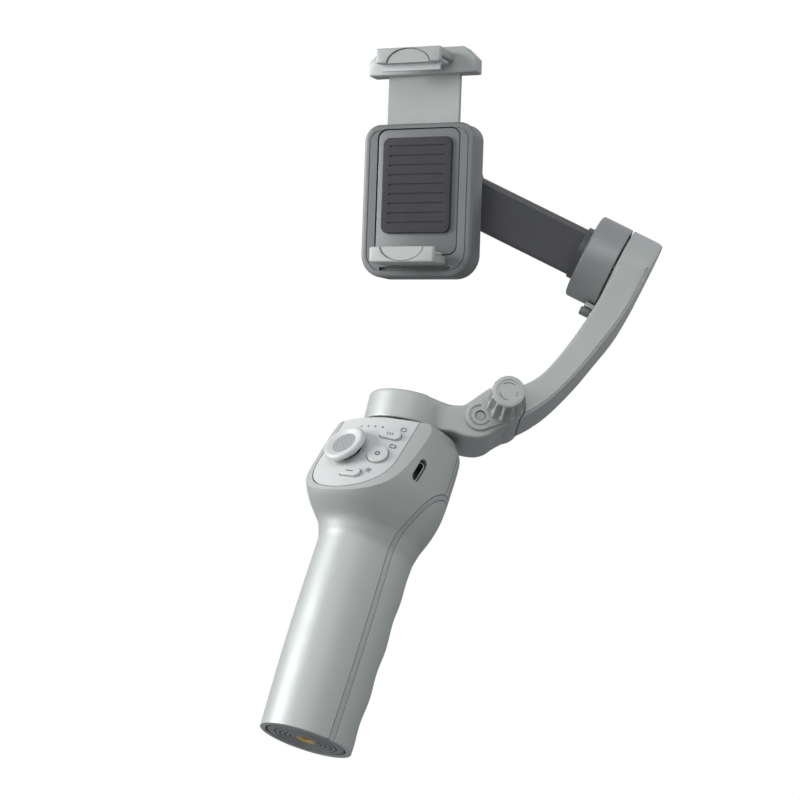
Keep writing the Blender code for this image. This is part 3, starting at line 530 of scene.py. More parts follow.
def egg(level, steps, inset):
    """One station of the handle: round at the back, and squarer at the front where it says so."""
    z, half, front, back, squareness = level
    points = []
    for angle in angles(steps):
        across, along = math.cos(angle), math.sin(angle)
        power = 2 / squareness if along < 0 else 1.0
        x = (half - inset) * math.copysign(abs(across) ** power, across)
        depth = (front if along < 0 else back) - inset
        points.append((x, depth * math.copysign(abs(along) ** power, along), z))
    return points


def handle_levels(step, fine):
    """Stations up the grip, with finger waves that fade out at its ends, and up the head."""
    levels = []
    for z in np.arange(0.0, GRIP_END_Z + 1.0, step):
        fade = min(1.0, (GRIP_END_Z - z) / 12.0, (z + 4.0) / 10.0)
        phase = 2 * math.pi * (z - WAVE_PEAK_Z) / WAVE_PITCH
        wave = WAVE_DEPTH * (math.cos(phase) - 1) / 2 * fade
        swell = 0.7 * math.sin(math.pi * z / 80.0)
        half = BASE_R + 0.8 * (z / GRIP_END_Z) ** 2 + swell
        front = BASE_R + 3.2 * z / GRIP_END_Z + swell
        levels.append((z, half, front, BASE_R + 0.2 + wave, 2.0))
    return levels + smooth(HEAD_LEVELS, fine)


def trim_to_seat(obj, drop, slope=0.0):
    """Cut the top off along the pan motor's seat, and lower outside it where a slope is given."""
    above = turned("above", [(0, -drop), (SEAT_R, -drop), (22.0, -drop - slope),
                             (70.0, -drop - 1.6 * slope), (70.0, FAR), (0, FAR)])
    return cut(obj, moved(above, PAN_SEAT))


def form(name, inset=0.0, drop=0.6, slope=SEAT_DROP):
    """The handle's outer form, or with an inset a form inside it."""
    if inset:
        rings = [egg(level, 64, inset) for level in handle_levels(4.2, 1)]
        rings[0] = [(x, y, -5.0) for x, y, _ in rings[0]]
    else:
        rings = [egg(level, 160, 0.0) for level in handle_levels(1.4, 5)]
    shape = loft(name, rings)
    trim_to_seat(shape, drop, slope)
    radius = PANEL_R - inset
    curve = [(radius * math.sin(a), radius * math.cos(a) - PANEL_R)
             for a in [math.radians(-75 + 150 * i / 150) for i in range(151)]]
    outline = curve + [(70, -30), (70, 50), (-70, 50), (-70, -30)]
    return cut(shape, moved(prism("front", outline, -62, 30, "y"), PANEL))


def seam(offset):
    """The side seam as (y, z) points, moved out from the grip by an offset."""
    reach, rise = SPINE_Y - SEAM_Y + 2.0 + offset, GRIP_TOP_Z - GRIP_CURVE_Z + offset
    bend = [(SPINE_Y - reach * math.cos(a), GRIP_CURVE_Z + rise * math.sin(a))
            for a in [math.radians(90 * i / 40) for i in range(41)]]
    return [(SEAM_Y - offset, -10.0), *bend, (FAR, GRIP_TOP_Z + offset)]


def grip_region(name, offset):
    return prism(name, seam(offset) + [(FAR, -10.0)], -FAR, FAR, "x")


def panel_outline(grow=0.0):
    """The panel's U, across and up, grown outwards by an amount."""
    half = PANEL_HALF + grow
    bottom = arc((0.0, PANEL_STRAIGHT), half, 180, 360, 72)
    top = PANEL_TOP + grow
    flat = [*bottom, (half, top - 3), (half - 3, top), (3 - half, top), (-half, top - 3)]
    return [(PANEL_R * math.sin(s / PANEL_R), v) for s, v in flat]


def usb_frame():
    """The charging hole on the head's right flank, z outwards and x along the slot."""
    return shift(*USB_AT) @ turn("Z", -33) @ turn("Y", 90) @ turn("Z", 167.0)


def screw_frame(side):
    """A cover screw on the left (-1) or right (1) of the head's rear, z outwards."""
    x, y, z = SCREW_AT
    return shift(side * x, y, z) @ turn("Z", side * -52) @ turn("X", -90)


def make_shells():
    """The hollow handle, divided into front, grip, rear cover and the strip along the seam."""
    shell = cut(form("shell"), form("hollow", WALL, 4.0, 0.0))
    cut(shell, moved(prism("usb_hole", pill(*USB_HOLE), -8, 8), usb_frame()),
        moved(disc("motor_hole", 16.4, -40, 40), PAN_SEAT),
        moved(prism("panel_hole", panel_outline(), -9, 9), PANEL))
    band = cut(form("band"), form("bed", 1.7, 0.6, 0.0))
    strip = cut(grip_region("strip", TRIM_WIDTH - GAP), grip_region("strip_in", 0.0))
    keep(band, strip)
    grip = keep(copy(shell, "grip"), grip_region("grip_part", -GAP))
    rear_part = box("rear_part", (-FAR, SPINE_Y + GAP, GRIP_TOP_Z + TRIM_WIDTH), (FAR, FAR, 160))
    rear = keep(copy(shell, "rear"), rear_part)
    cut(shell, grip_region("front_part", TRIM_WIDTH),
        box("spine", (-FAR, SPINE_Y - GAP, 90), (FAR, FAR, 160)))
    for side in (-1, 1):
        cut(rear, moved(disc("boss", SCREW_R, -30, 30, 48), screw_frame(side)))
    skin = cut(form("skin"), form("under", LINE_DEPTH, 0.6, 0.0))
    line = box("spine_line", (-FAR, SPINE_LINE[0], GRIP_TOP_Z + 3.2), (FAR, SPINE_LINE[1], 160))
    cut(shell, keep(skin, line))
    show(shell, "front_shell_skin", HANDLE, "handle", SHELL, "shell", "front_shell")
    show(grip, "rear_grip_skin", HANDLE, "handle", SHELL, "shell", "rear_grip")
    show(rear, "rear_cover_skin", HANDLE, "handle", SHELL, "shell", "head_rear_cover")
    show(band, "seam_trim_skin", HANDLE, "handle", SHELL_TRIM_AND_SHADE, "shell_dark", "seam_trim")


def make_panel():
    """The curved control panel with its holes, and the small lamps under it."""
    outer = arc((0, -PANEL_R), PANEL_R - 0.15, 38, 142, 120)
    inner = arc((0, -PANEL_R), PANEL_R - PANEL_THICK, 142, 38, 120)
    panel = prism("panel", outer + inner, -60, 20, "y")
    keep(panel, prism("u", panel_outline(-0.5), -20, 20))
    moved(panel, PANEL)
    cut(panel, moved(disc("record_hole", RECORD_R + GAP, -9, 9), on_panel(RECORD_AT)),
        moved(disc("stick_hole", 5.6, -9, 9), on_panel(JOYSTICK_AT)))
    for at in (MODE_AT, POWER_AT):
        hole = pill(PILL[0] + 2 * GAP, PILL[1] + 2 * GAP)
        cut(panel, moved(prism("pill_hole", hole, -9, 9), on_panel(at)))
    trim_to_seat(panel, 0.7, SEAT_DROP)
    for across in LIGHT_SPREAD:
        spot = on_panel((LIGHTS_AT[0] + across, LIGHTS_AT[1]))
        cut(panel, moved(disc("light_hole", 0.5, -9, 9, 32), spot))
    show(panel, "control_panel_skin", HANDLE, "handle", DECK, "panel", "control_panel")

    lights = None
    for across in LIGHT_SPREAD:
        spot = on_panel((LIGHTS_AT[0] + across, LIGHTS_AT[1]))
        lamp = turned("lamp", [(0, -2.2), (0.42, -2.2), (0.42, -0.35), (0.3, -0.24), (0, -0.2)], 32)
        moved(lamp, spot)
        lights = lamp if lights is None else join(lights, lamp)
    show(lights, "indicator_lights", HANDLE, "handle", MARK_AND_SHADE, "lens", "indicator_lens")


def stroke(name, points, width, local, closed=False):
    """A flat line that stands 0.06 mm proud along points in a place's own plane."""
    path = [Vector(p) for p in points]
    left, right = [], []
    count = len(path)
    for i in range(count):
        before = path[i - 1] if closed or i else path[i]
        after = path[(i + 1) % count] if closed or i < count - 1 else path[i]
        along = (after - before).normalized()
        side = Vector((-along.y, along.x)) * width / 2
        left.append(path[i] + side)
        right.append(path[i] - side)
    low, high = -0.1, 0.06
    points3 = [(*p, h) for h in (low, high) for p in left + right]
    faces = []
    for i in range(count if closed else count - 1):
        j = (i + 1) % count
        a, b, c, d = i, j, count + j, count + i
        top = 2 * count
        faces += [(a, b, c, d), (top + a, top + b, top + c, top + d),
                  (a, b, top + b, top + a), (d, c, top + c, top + d)]
    if not closed:
        top = 2 * count
        faces += [(0, count, top + count, top), (count - 1, 2 * count - 1, top + 2 * count - 1,
                                                 top + count - 1)]
    return moved(solid(name, points3, faces), local)


def merged(name, pieces):
    """Put several small separate shapes into one object."""
    work = bmesh.new()
    for piece in pieces:
        work.from_mesh(piece.data)
        bpy.data.objects.remove(piece)
    mesh = bpy.data.meshes.new(name)
    work.to_mesh(mesh)
    work.free()
    obj = bpy.data.objects.new(name, mesh)
    bpy.context.scene.collection.objects.link(obj)
    return obj


def make_panel_marks():
    """Three plain marks beside the buttons: a ring, a framed dot and a dot with rays."""
    ring_at = on_panel((15.6, -8.2))
    film_at = on_panel((15.4, -17.6))
    rays_at = on_panel((11.6, -32.0))
    marks = [stroke("ring", circle((0, 0), 1.05, 32), 0.26, ring_at, True),
             stroke("frame", rounded_box(-1.3, -0.8, 1.0, 0.8, 0.35, 6), 0.24, film_at, True),
             stroke("tail", [(1.2, -0.45), (1.2, 0.45)], 0.3, film_at),
             stroke("sun", circle((0, 0), 0.55, 24), 0.24, rays_at, True)]
    for i in range(6):
        a = math.radians(60 * i)
        ray = [(0.95 * math.cos(a), 0.95 * math.sin(a)), (1.35 * math.cos(a), 1.35 * math.sin(a))]
        marks.append(stroke("ray", ray, 0.2, rays_at))
    show(merged("marks", marks), "panel_marks", HANDLE, "handle", MARK_AND_SHADE, "black_plastic")


def make_joystick():
    """The dished cap with its stem, and a studded patch in the dish."""
    top = JOYSTICK_DECK
    rim = smooth([(7.2, top + 2.3), (8.6, top + 2.5), (9.15, top + 3.0), (9.2, top + 3.5)], 5)
    chamfer = smooth([(8.85, top + 4.3), (8.35, top + 4.8), (7.6, top + 4.95), (6.7, top + 4.7),
                      (5.6, top + 4.25), (4.3, top + 3.9), (2.6, top + 3.72), (0.0, top + 3.65)], 5)
    profile = [(0, -1.6), (2.6, -1.6), (2.6, top + 1.9), *rim, *chamfer]
    cap = turned("cap", profile)
    stick = on_panel(JOYSTICK_AT, -JOYSTICK_DECK)
    show(cap, "joystick_cap_skin", stick, "joystick_cap", DECK, "shell", "joystick_cap", soft=40)

    dish = [(0.0, top + 3.70), (2.6, top + 3.77), (4.3, top + 3.95), (5.2, top + 4.14)]
    dark = turned("patch", [(0, top + 3.4), (5.2, top + 3.4), *reversed(dish)], 64)
    show(dark, "joystick_grip_patch", stick, "joystick_cap", CAN, "shell")
    grid = moved(merged("grid", studs(top + 3.62)), turn("Z", 35))
    show(grid, "joystick_grip_studs", stick, "joystick_cap", DECK, "shell")


def studs(floor):
    """Small blunt pyramids on a square grid inside a circle, rising with the dish."""
    reach, pitch, half, height, taper = 5.0, 0.75, 0.25, 0.26, 0.45
    span = range(-7, 8)
    pieces = []
    for x, y in [(i * pitch, j * pitch) for i in span for j in span]:
        if math.hypot(x, y) > reach:
            continue
        base = floor + 0.016 * (x * x + y * y)
        low = [(x - half, y - half), (x + half, y - half), (x + half, y + half), (x - half, y + half)]
        high = [(x + (a - x) * taper, y + (b - y) * taper) for a, b in low]
        pieces.append(loft("stud", [[(a, b, base) for a, b in low],
                                    [(a, b, base + height) for a, b in high]]))
    return pieces


def button(name, at, outline, mark):
    """A button's cap and its dark mark: print on the mode and power buttons, painted dimple shade on the record
    button; the button's node, body and pieces share one name.
    """
    cap = rounded(prism(name, outline, -PANEL_THICK - 0.6, BUTTON_PROUD), 0.35, 4, 60)
    show(cap, name + "_skin", on_panel(at), name, DECK, "panel", name)
    show(mark, name + "_mark", on_panel(at, BUTTON_PROUD), name, MARK_AND_SHADE, "black_plastic")


def make_buttons():
    still = Matrix.Identity(4)
    bars = [stroke("bar", [(x, -0.75), (x, 0.75)], 0.36, still) for x in (-1.1, 0.0, 1.1)]
    button("mode_button", MODE_AT, pill(*PILL), merged("bars", bars))
    # the record button's dark ring is painted shade standing in for a dimple
    button("record_button", RECORD_AT, circle((0, 0), RECORD_R),
           stroke("painted_dimple_shade", circle((0, 0), 0.8, 32), 0.6, still, True))
    button("power_button", POWER_AT, pill(*PILL),
           stroke("dash", [(-1.7, 0), (1.7, 0)], 0.5, still))


def make_base():
    """The base with ring grooves, and the insert with a plain sawtooth for its thread."""
    rim = BASE_R - WALL - 2 * GAP
    profile = [(4.6, 0.0), (5.8, 0.0)]
    radius, low = 5.8, 0.0
    while radius < rim - 2.0:
        profile += [(radius + 0.15, low + 0.7), (radius + 0.75, low + 0.7), (radius + 0.9, low)]
        radius += 2.1
        profile.append((radius, low))
    profile += [(rim - 0.8, 0.0), (rim - 0.2, 0.25), (rim, 0.9), (rim, 5.6), (rim - 1.6, 5.6),
                (rim - 1.6, 3.2), (4.6, 3.2)]
    show(turned("cap", profile), "base_cap_skin", HANDLE, "handle", BASE, "black_plastic", "base_cap")
    teeth = []
    for i in range(10):
        low = 0.9 + 0.8 * i
        teeth += [(2.6, low), (3.0, low + 0.4)]
    insert = turned("insert", [(3.1, 0.3), (3.4, 0.15), (4.1, 0.15), (4.3, 0.4), (4.3, 3.4),
                               (5.4, 3.6), (5.4, 9.0), *reversed(teeth)])
    show(insert, "tripod_insert_skin", HANDLE, "handle", BRASS, "brass", "tripod_insert")


# ---------------------------------------------------------------- pan arm and hinge

NECK = [                       # lower edge and upper edge of the neck: out, up, out, up
    (4.0, 0.0, 4.0, 12.5),
    (14.0, 0.0, 14.0, 12.0),
    (19.0, 0.4, 17.5, 11.9),
    (24.0, -0.3, 21.0, 12.8),
    (29.5, 0.3, 24.0, 16.0),
    (33.4, 2.3, 27.3, 19.8),
    (36.5, 5.7, 30.9, 23.3),
    (39.7, 8.6, 34.9, 24.5),
]

STRAP = [                      # outer edge, inner edge, half width of the folding arm
    (40.1, 8.9, 36.9, 24.8, 14.0),
    (45.0, 12.7, 41.9, 26.4, 14.0),
    (50.5, 17.7, 47.2, 30.7, 14.0),
    (56.6, 25.2, 51.6, 36.9, 14.0),
    (64.1, 37.5, 56.6, 46.9, 14.1),
    (70.7, 50.7, 61.0, 57.2, 14.6),
    (76.9, 64.1, 64.9, 67.8, 15.8),
    (81.5, 78.4, 68.3, 79.7, 17.4),
    (83.7, 87.0, 71.1, 90.3, 18.3),
]

KNUCKLE = [                    # outer and inner edge where the centre lug meets the arm
    (39.4, 10.6, 38.5, 23.5),
    (42.9, 12.4, 40.5, 24.3),
    (47.0, 15.5, 44.2, 26.9),
]


def strap(name, stations, half, inset=0.0, steps=6, corner=0.9):
    """A bar with a rounded rectangular section, swept through pairs of edge points."""
    rings = []
    for station in smooth(stations, steps):
        low, high = Vector(station[0:2]), Vector(station[2:4])
        across = (high - low).normalized()
        low, high = low + across * inset, high - across * inset
        wide = (station[4] if len(station) > 4 else half) - inset
        section = rounded_box(-wide, 0, wide, (high - low).length, max(corner - inset / 2, 0.5), 5)
        rings.append([(low.x + across.x * h, w, low.y + across.y * h) for w, h in section])
    return loft(name, rings)


def near_ring(radius, heights, centre=None):
    """Weight 1 within 0.7 mm of a cylinder's side about z, and 0 from 4.2 mm."""
    place = centre or Matrix.Identity(4)
    back = np.array(place.inverted())

    def weight(points):
        local = points @ back[:3, :3].T + back[:3, 3]
        off = np.abs(np.hypot(local[:, 0], local[:, 1]) - radius)
        inside = (local[:, 2] > heights[0]) & (local[:, 2] < heights[1])
        return np.clip(1.2 - off / 3.5, 0, 1) * inside
    return weight


def make_pan_arm():
    """The drum and its neck flowing together, with the lugs slotted for the folding arm."""
    drum = turned("drum", [(0, 0), (DRUM_R - 0.5, 0), *arc((DRUM_R - 0.5, 0.5), 0.5, -90, 0, 4),
                           *arc((DRUM_R - 1.2, DRUM_H - 1.2), 1.2, 0, 90, 6), (0, DRUM_H)])
    neck = moved(strap("neck", NECK, (ARM_HALF + NECK_BACK) / 2),
                 shift(0, (NECK_BACK - ARM_HALF) / 2, 0))
    join(drum, neck, prism("lugs", circle(HINGE, LUG_R), -ARM_HALF, NECK_BACK, "y"))
    remeshed(drum, 0.42)
    on_neck = near_ring(DRUM_R, (0.8, DRUM_H + 1.0))
    # only on the neck's side of the drum, so that its flat underside keeps its edge
    relaxed(drum, lambda p: on_neck(p) * (p[:, 0] > 6) * (p[:, 2] > 0.8), 60)
    cut(drum, prism("tongue_slot", circle(HINGE, LUG_R + 0.5), -TONGUE_HALF - GAP,
                    TONGUE_HALF + GAP, "y"))
    # room for the folding arm's root through its whole turn
    sweep = [(HINGE[0], HINGE[1] + 40), *arc(HINGE, LUG_R + 0.5, 150, -62, 40), (70, -20), (70, 60)]
    cut(drum, prism("arm_way", sweep, -TONGUE_HALF - GAP, TONGUE_HALF + GAP, "y"))
    above = [(HINGE[0] - 9.0, HINGE[1] + 40), *arc(HINGE, LUG_R + 0.1, 150, 70, 20), (50, 60)]
    cut(drum, prism("fold_way", above, -20, 20, "y"))
    cut(drum, prism("pin_hole", circle(HINGE, PIN_WAY_R), -40, 40, "y"),
        disc("shaft_hole", 3.3, -5, 9.0),
        prism("stop_pin_hole", circle(STOP_PIN, STOP_PIN_R), -15, -11, "y"))
    show(drum, "pan_arm_skin", PAN, "pan_arm", SHELL, "shell", "pan_arm")
    make_hinge_plate()
    pin = turned("pin", [(0, -3.4), (2.05, -3.4), (2.05, -0.35), (1.8, -0.05), (0, 0.0)], 64)
    local = PAN @ shift(STOP_PIN[0], -ARM_HALF - 0.6, STOP_PIN[1]) @ turn("X", 90)
    show(pin, "stop_pin_skin", local, "pan_arm", SHELL, "steel", "hinge_stop_pin")


def make_hinge_plate():
    """A teardrop plate over the pin and the hinge, with a C-shaped groove round the pin."""
    small, large = STOP_PIN, HINGE
    toward = math.degrees(math.atan2(large[1] - small[1], large[0] - small[0]))
    spread = 84.0
    outline = arc(small, 6.2, toward + spread, toward + 360 - spread, 48)
    outline += arc(large, 7.7, toward - spread, toward + spread, 48)
    plate = prism("plate", outline, -ARM_HALF - 1.4, -ARM_HALF - 0.1, "y")
    rounded(plate, 0.45, 3)
    groove = arc(small, 4.6, toward + 60, toward + 300, 48)
    groove += arc(small, 3.7, toward + 300, toward + 60, 48)
    cut(plate, prism("groove", groove, -30, -ARM_HALF - 0.8, "y"),
        prism("pin_gap", circle(small, STOP_PIN_R), -30, 0, "y"),
        prism("bolt_gap", circle(large, PIN_WAY_R), -30, 0, "y"))
    show(plate, "hinge_plate_skin", PAN, "pan_arm", SHELL, "shell", "hinge_plate")


def make_knob():
    """The fluted knob, from stations of height, radius and flute depth, and marks on its top."""
    top, around, rings = KNOB_TOP, angles(192), []
    levels = smooth([(15.8, 7.5, 0.4), (16.8, 7.75, 0.4), (19.0, 7.1, 0.9), (22.0, 6.7, 1.0),
                     (26.0, 6.4, 1.0), (top - 2.6, 6.2, 0.9), (top - 1.9, 6.4, 0.2)], 3)
    levels += [(top - 1.8, 6.5, 0.0), (top - 1.5, 6.6, 0.0), (top - 0.4, 6.55, 0.0),
               (top - 0.1, 6.4, 0.0), (top, 6.15, 0.0)]
    for height, radius, depth in levels:
        lobes = [radius + depth * math.cos(KNOB_FLUTES * a) for a in around]
        rings.append([(r * math.cos(a), r * math.sin(a), height) for r, a in zip(lobes, around)])
    knob = loft("knob", rings)
    cut(knob, disc("thread", 2.6, 10, 25.0), disc("dish", 5.0, top - 0.3, 40))
    local = PAN @ shift(HINGE[0], 0, HINGE[1]) @ turn("X", 90)
    show(knob, "fold_knob_skin", local, "fold_knob", SHELL, "shell", "fold_knob", soft=40)
    face = local @ shift(0, 0, top - 0.3)
    marks = [stroke("arc", arc((0, 0), 3.6, start, start + 75, 20), 0.3, Matrix.Identity(4))
             for start in (60, 200)]
    marks += [stroke("tick", [(3.0, y), (3.9, y)], 0.3, Matrix.Identity(4)) for y in (-0.9, 0.1)]
    show(merged("knob_arcs", marks), "fold_knob_marks", face, "fold_knob", MARK_AND_SHADE, "black_plastic")


# ---------------------------------------------------------------- folding arm and tilt motor

def cover_region(name, grow):
    """The far face of the folding arm, short of its round end and its knuckle."""
    region = box(name, (-50, ARM_HALF - 2.6 - grow, -50), (200, 60, 200))
    return cut(region, moved(disc("keep_end", MOTOR_R + 0.6 - grow, -60, 60), MOTOR_IN_ARM),
               prism("keep_knuckle", circle(HINGE, 14.0 - grow), -60, 70, "y"))


def edge_groove(inset, width, depth):
    """A fine groove in the folding arm's near face, along its outer edge."""
    rings = []
    for x0, z0, x1, z1, wide in smooth(STRAP, 6):
        across = (Vector((x1, z1)) - Vector((x0, z0))).normalized()
        a, b = Vector((x0, z0)) + across * inset, Vector((x0, z0)) + across * (inset + width)
        rings.append([(a.x, -wide - 1, a.y), (b.x, -wide - 1, b.y), (b.x, depth - wide, b.y),
                      (a.x, depth - wide, a.y)])
    return loft("edge_groove", rings)


def make_long_arm():
    """The curved arm and its round end as one skin, hollow behind a separate cover."""
    body = strap("arm", STRAP, ARM_HALF)
    end = turned("end", [(0, -ARM_END), (MOTOR_R - 1.2, -ARM_END),
                         *arc((MOTOR_R - 1.2, -ARM_END + 1.2), 1.2, -90, 0, 5),
                         (MOTOR_R, -GAP), (0, -GAP)])
    join(body, moved(end, MOTOR_IN_ARM))
    remeshed(body, 0.45)
    side = near_ring(MOTOR_R, (-ARM_END + 0.2, -2.0), MOTOR_IN_ARM)
    relaxed(body, side, 40)
    cover = keep(copy(body, "cover"), cover_region("cover_part", 0.0))
    cut(body, cover_region("cover_way", GAP), strap("hollow", STRAP[2:7], ARM_HALF, 2.2, 3),
        moved(disc("motor_well", 12.0, -ARM_END + 2.0, -4.0), MOTOR_IN_ARM),
        moved(disc("face", MOTOR_R + 2, -GAP, 5), MOTOR_IN_ARM),
        prism("knuckle", circle(HINGE, LUG_R + 0.4), -60, 60, "y"), edge_groove(1.0, 0.5, 0.5))
    tongue = prism("tongue", circle(HINGE, LUG_R), -TONGUE_HALF, TONGUE_HALF, "y")
    join(body, join(tongue, strap("root", KNUCKLE, TONGUE_HALF, 0.0, 3, 0.4)))
    cut(body, prism("pin_way", circle(HINGE, PIN_WAY_R), -40, 40, "y"),
        moved(disc("hub_hole", 3.9, -ARM_END + 1.9, 5), MOTOR_IN_ARM))
    show(body, "long_arm_skin", PAN, "fold_arm", SHELL, "shell", "long_arm")
    cut(cover, strap("cover_hollow", STRAP[2:7], ARM_HALF, 2.2, 3))
    show(cover, "arm_cover_skin", PAN, "fold_arm", SHELL, "shell", "arm_back_cover")


def make_tilt_stop():
    tab = rounded(box("tab", (-21.4, -2.6, 0.1), (-19.3, 2.6, 4.4)), 0.3)
    show(tab, "stop_tab_skin", ARM_MOTOR, "fold_arm", SHELL, "shell", "tilt_stop_tab")
    bumper = rounded(box("bumper", (-24.4, -2.2, 0.8), (-21.7, 2.2, 5.2)), 0.6, 4)
    show(bumper, "stop_bumper_skin", ARM_MOTOR, "fold_arm", DARK, "rubber", "tilt_stop_bumper")


def make_tilt_can():
    top = MOTOR_H
    can = turned("can", [(3.3, top - 2.0), (16.6, top - 2.0), (16.6, 0.5), (MOTOR_R - 0.3, 0.5),
                         (MOTOR_R, 0.8), *arc((MOTOR_R - 1.4, top - 1.4), 1.4, 0, 90, 6), (3.3, top)])
    show(can, "tilt_can_skin", TILT, "tilt_link", CAN, "shell_dark", "tilt_motor_can")


def make_link():
    """The strap behind the phone, painted darker than the other dark plastic for the shade it lies in, with the
    roll motor's can at its end and the can's cap.
    """
    low, high = MOTOR_H + 0.4, ROLL_IN_TILT.translation.z - 6.0
    section = rounded_box(-LINK_HALF, LINK_FRONT, LINK_HALF, LINK_REAR, 2.2, 8)
    bar = prism("bar", section, low, high)
    at_roll = ROLL_IN_TILT @ turn("X", -90)
    can = turned("can", [(0, ROLL_FRONT), (ROLL_R - 0.4, ROLL_FRONT), (ROLL_R, ROLL_FRONT + 0.4),
                         *arc((ROLL_R - 1.4, ROLL_BACK - 1.4), 1.4, 0, 90, 6), (0, ROLL_BACK)])
    cut(bar, moved(disc("cap_way", ROLL_R - 2.6, ROLL_BACK - 1.0, ROLL_BACK + 8.0), at_roll))
    join(bar, moved(can, at_roll), disc("foot", LINK_FOOT_R, low - 0.1, low + 2.5))
    cut(bar, moved(disc("bore", ROLL_R - 1.8, ROLL_FRONT - 5, ROLL_BACK - 5.0), at_roll))
    show(bar, "link_arm_skin", TILT, "tilt_link", LINK_PAINTED_SHADE, "shell_dark", "link_arm")
    cap = turned("cap", [(0, ROLL_BACK + GAP), (ROLL_R - 3.0, ROLL_BACK + GAP),
                         (ROLL_R - 3.3, ROLL_BACK + 0.9), (ROLL_R - 3.9, ROLL_BACK + 1.2),
                         (9.0, ROLL_BACK + 1.4), (8.8, ROLL_BACK + 1.1), (8.5, ROLL_BACK + 1.1),
                         (8.3, ROLL_BACK + 1.4), (0, ROLL_BACK + 1.4)])
    show(cap, "roll_cap_skin", TILT @ at_roll, "tilt_link", DARK, "shell_dark", "roll_motor_cap")


# ---------------------------------------------------------------- clamp

def make_clamp_body():
    """The housing, with a fine line round its front and openings for the slider and the face."""
    outline = rounded_box(-BODY_HALF, BODY_LOW, BODY_HALF, BODY_HIGH, (10, 7, 7, 10), 16)
    body = rounded(prism("body", outline, BODY_FRONT, BODY_BACK, "y"), 1.2, 5)
    inner = rounded_box(-BODY_HALF + 2.4, BODY_LOW + 2.4, BODY_HALF - 2.4, 50, 6)
    opening = rounded_box(-FACE_HALF, FACE_LOW, FACE_HALF, FACE_HIGH, 4)
    line = cut(prism("line", body_inset(2.4, (8, 5, 5, 8)), 0, BODY_FRONT + 0.35, "y"),
               prism("line_in", body_inset(2.8, (7.6, 4.6, 4.6, 7.6)), -5, 20, "y"))
    cut(body, prism("inside", inner, BODY_FRONT + 2.4, BODY_BACK - 2.2, "y"),
        prism("face_way", opening, 0, BODY_FRONT + 4, "y"),
        box("jaw_gap", (-15.9, 0, -39.4), (15.9, BODY_FRONT + 1.6, -38.0)),
        prism("hub", circle((0, 0), 3.3), 10, 40, "y"), line)
    show(body, "clamp_body_skin", CLAMP, "clamp", DARK, "shell_dark", "clamp_body")


def body_inset(inset, radii):
    return rounded_box(inset - BODY_HALF, BODY_LOW + inset, BODY_HALF - inset, BODY_HIGH - inset,
                       radii, 16)


def make_clamp_face():
    """The face plate and the ribbed pad that the phone's back rests on."""
    edge = rounded_box(0.4 - FACE_HALF, FACE_LOW + 0.4, FACE_HALF - 0.4, FACE_HIGH - 0.4, 4)
    plate = prism("plate", edge, BODY_FRONT + 0.3, BODY_FRONT + 2.1, "y")
    show(rounded(plate, 0.3), "clamp_face_skin", CLAMP, "clamp", DARK, "shell_dark",
         "clamp_face_plate")
    edge = rounded_box(-15.5, -24.0, 15.5, BODY_HIGH - 6.0, 3)
    pad = rounded(prism("pad", edge, 8.4, BODY_FRONT, "y"), 0.45)
    for i in range(9):
        low = -20.0 + 4.0 * i
        cut(pad, prism("rib_gap", rounded_box(-12.5, low, 12.5, low + 0.7, 0.3), 0, 8.8, "y"))
    show(pad, "back_pad_skin", CLAMP, "clamp", RUBBER, "rubber", "back_pad")


def arch(radius, lip, way):
    """A flattened half circle on a jaw's lip, standing on the lip's free edge."""
    return [(x, lip + (z - lip) * 0.62) for x, z in arc((0, lip), radius, 0, -180 * way, 60)]


def jaw_bracket(name, inner, outer, lip, root_y):
    """A jaw: inner and outer face of its shelf, its lip's free edge, and where its shelf ends."""
    way = 1 if lip > outer else -1
    profile = [(JAW_REACH, outer), (root_y, outer), (root_y, inner), (JAW_REACH + LIP_THICK, inner),
               (JAW_REACH + LIP_THICK, lip), (JAW_REACH, lip)]
    jaw = rounded(prism(name, profile, -JAW_HALF, JAW_HALF, "x"), 0.8, 4)
    recess = arch(ARCH_R, lip, way)
    line = recess + arch(ARCH_R - 0.7, lip, way)[::-1]
    return cut(jaw, prism("arch", recess, JAW_REACH - 1, JAW_REACH + 0.5, "y"),
               prism("arch_line", line, JAW_REACH - 1, JAW_REACH + 1.1, "y"))


def jaw_pad(name, face, thick, lip):
    """A rubber pad along the inner face of a jaw's shelf and up its lip."""
    low_lip = JAW_REACH + LIP_THICK + GAP
    profile = [(low_lip, face + thick), (7.4, face + thick), (7.4, face), (low_lip + 1.4, face),
               (low_lip + 1.4, lip), (low_lip, lip)]
    return prism(name, profile, -JAW_HALF + 1.2, JAW_HALF - 1.2, "x")


def make_lower_jaw():
    jaw = jaw_bracket("jaw", PHONE_LOW - 1.5, PHONE_LOW - 5.0, PHONE_LOW + 1.5, BODY_FRONT - GAP)
    show(jaw, "lower_jaw_skin", CLAMP, "clamp", SHELL, "shell", "lower_jaw")
    pad = rounded(jaw_pad("pad", PHONE_LOW, -1.2, PHONE_LOW + 1.2), 0.25)
    show(pad, "lower_pad_skin", CLAMP, "clamp", PAD, "rubber", "lower_jaw_pad")


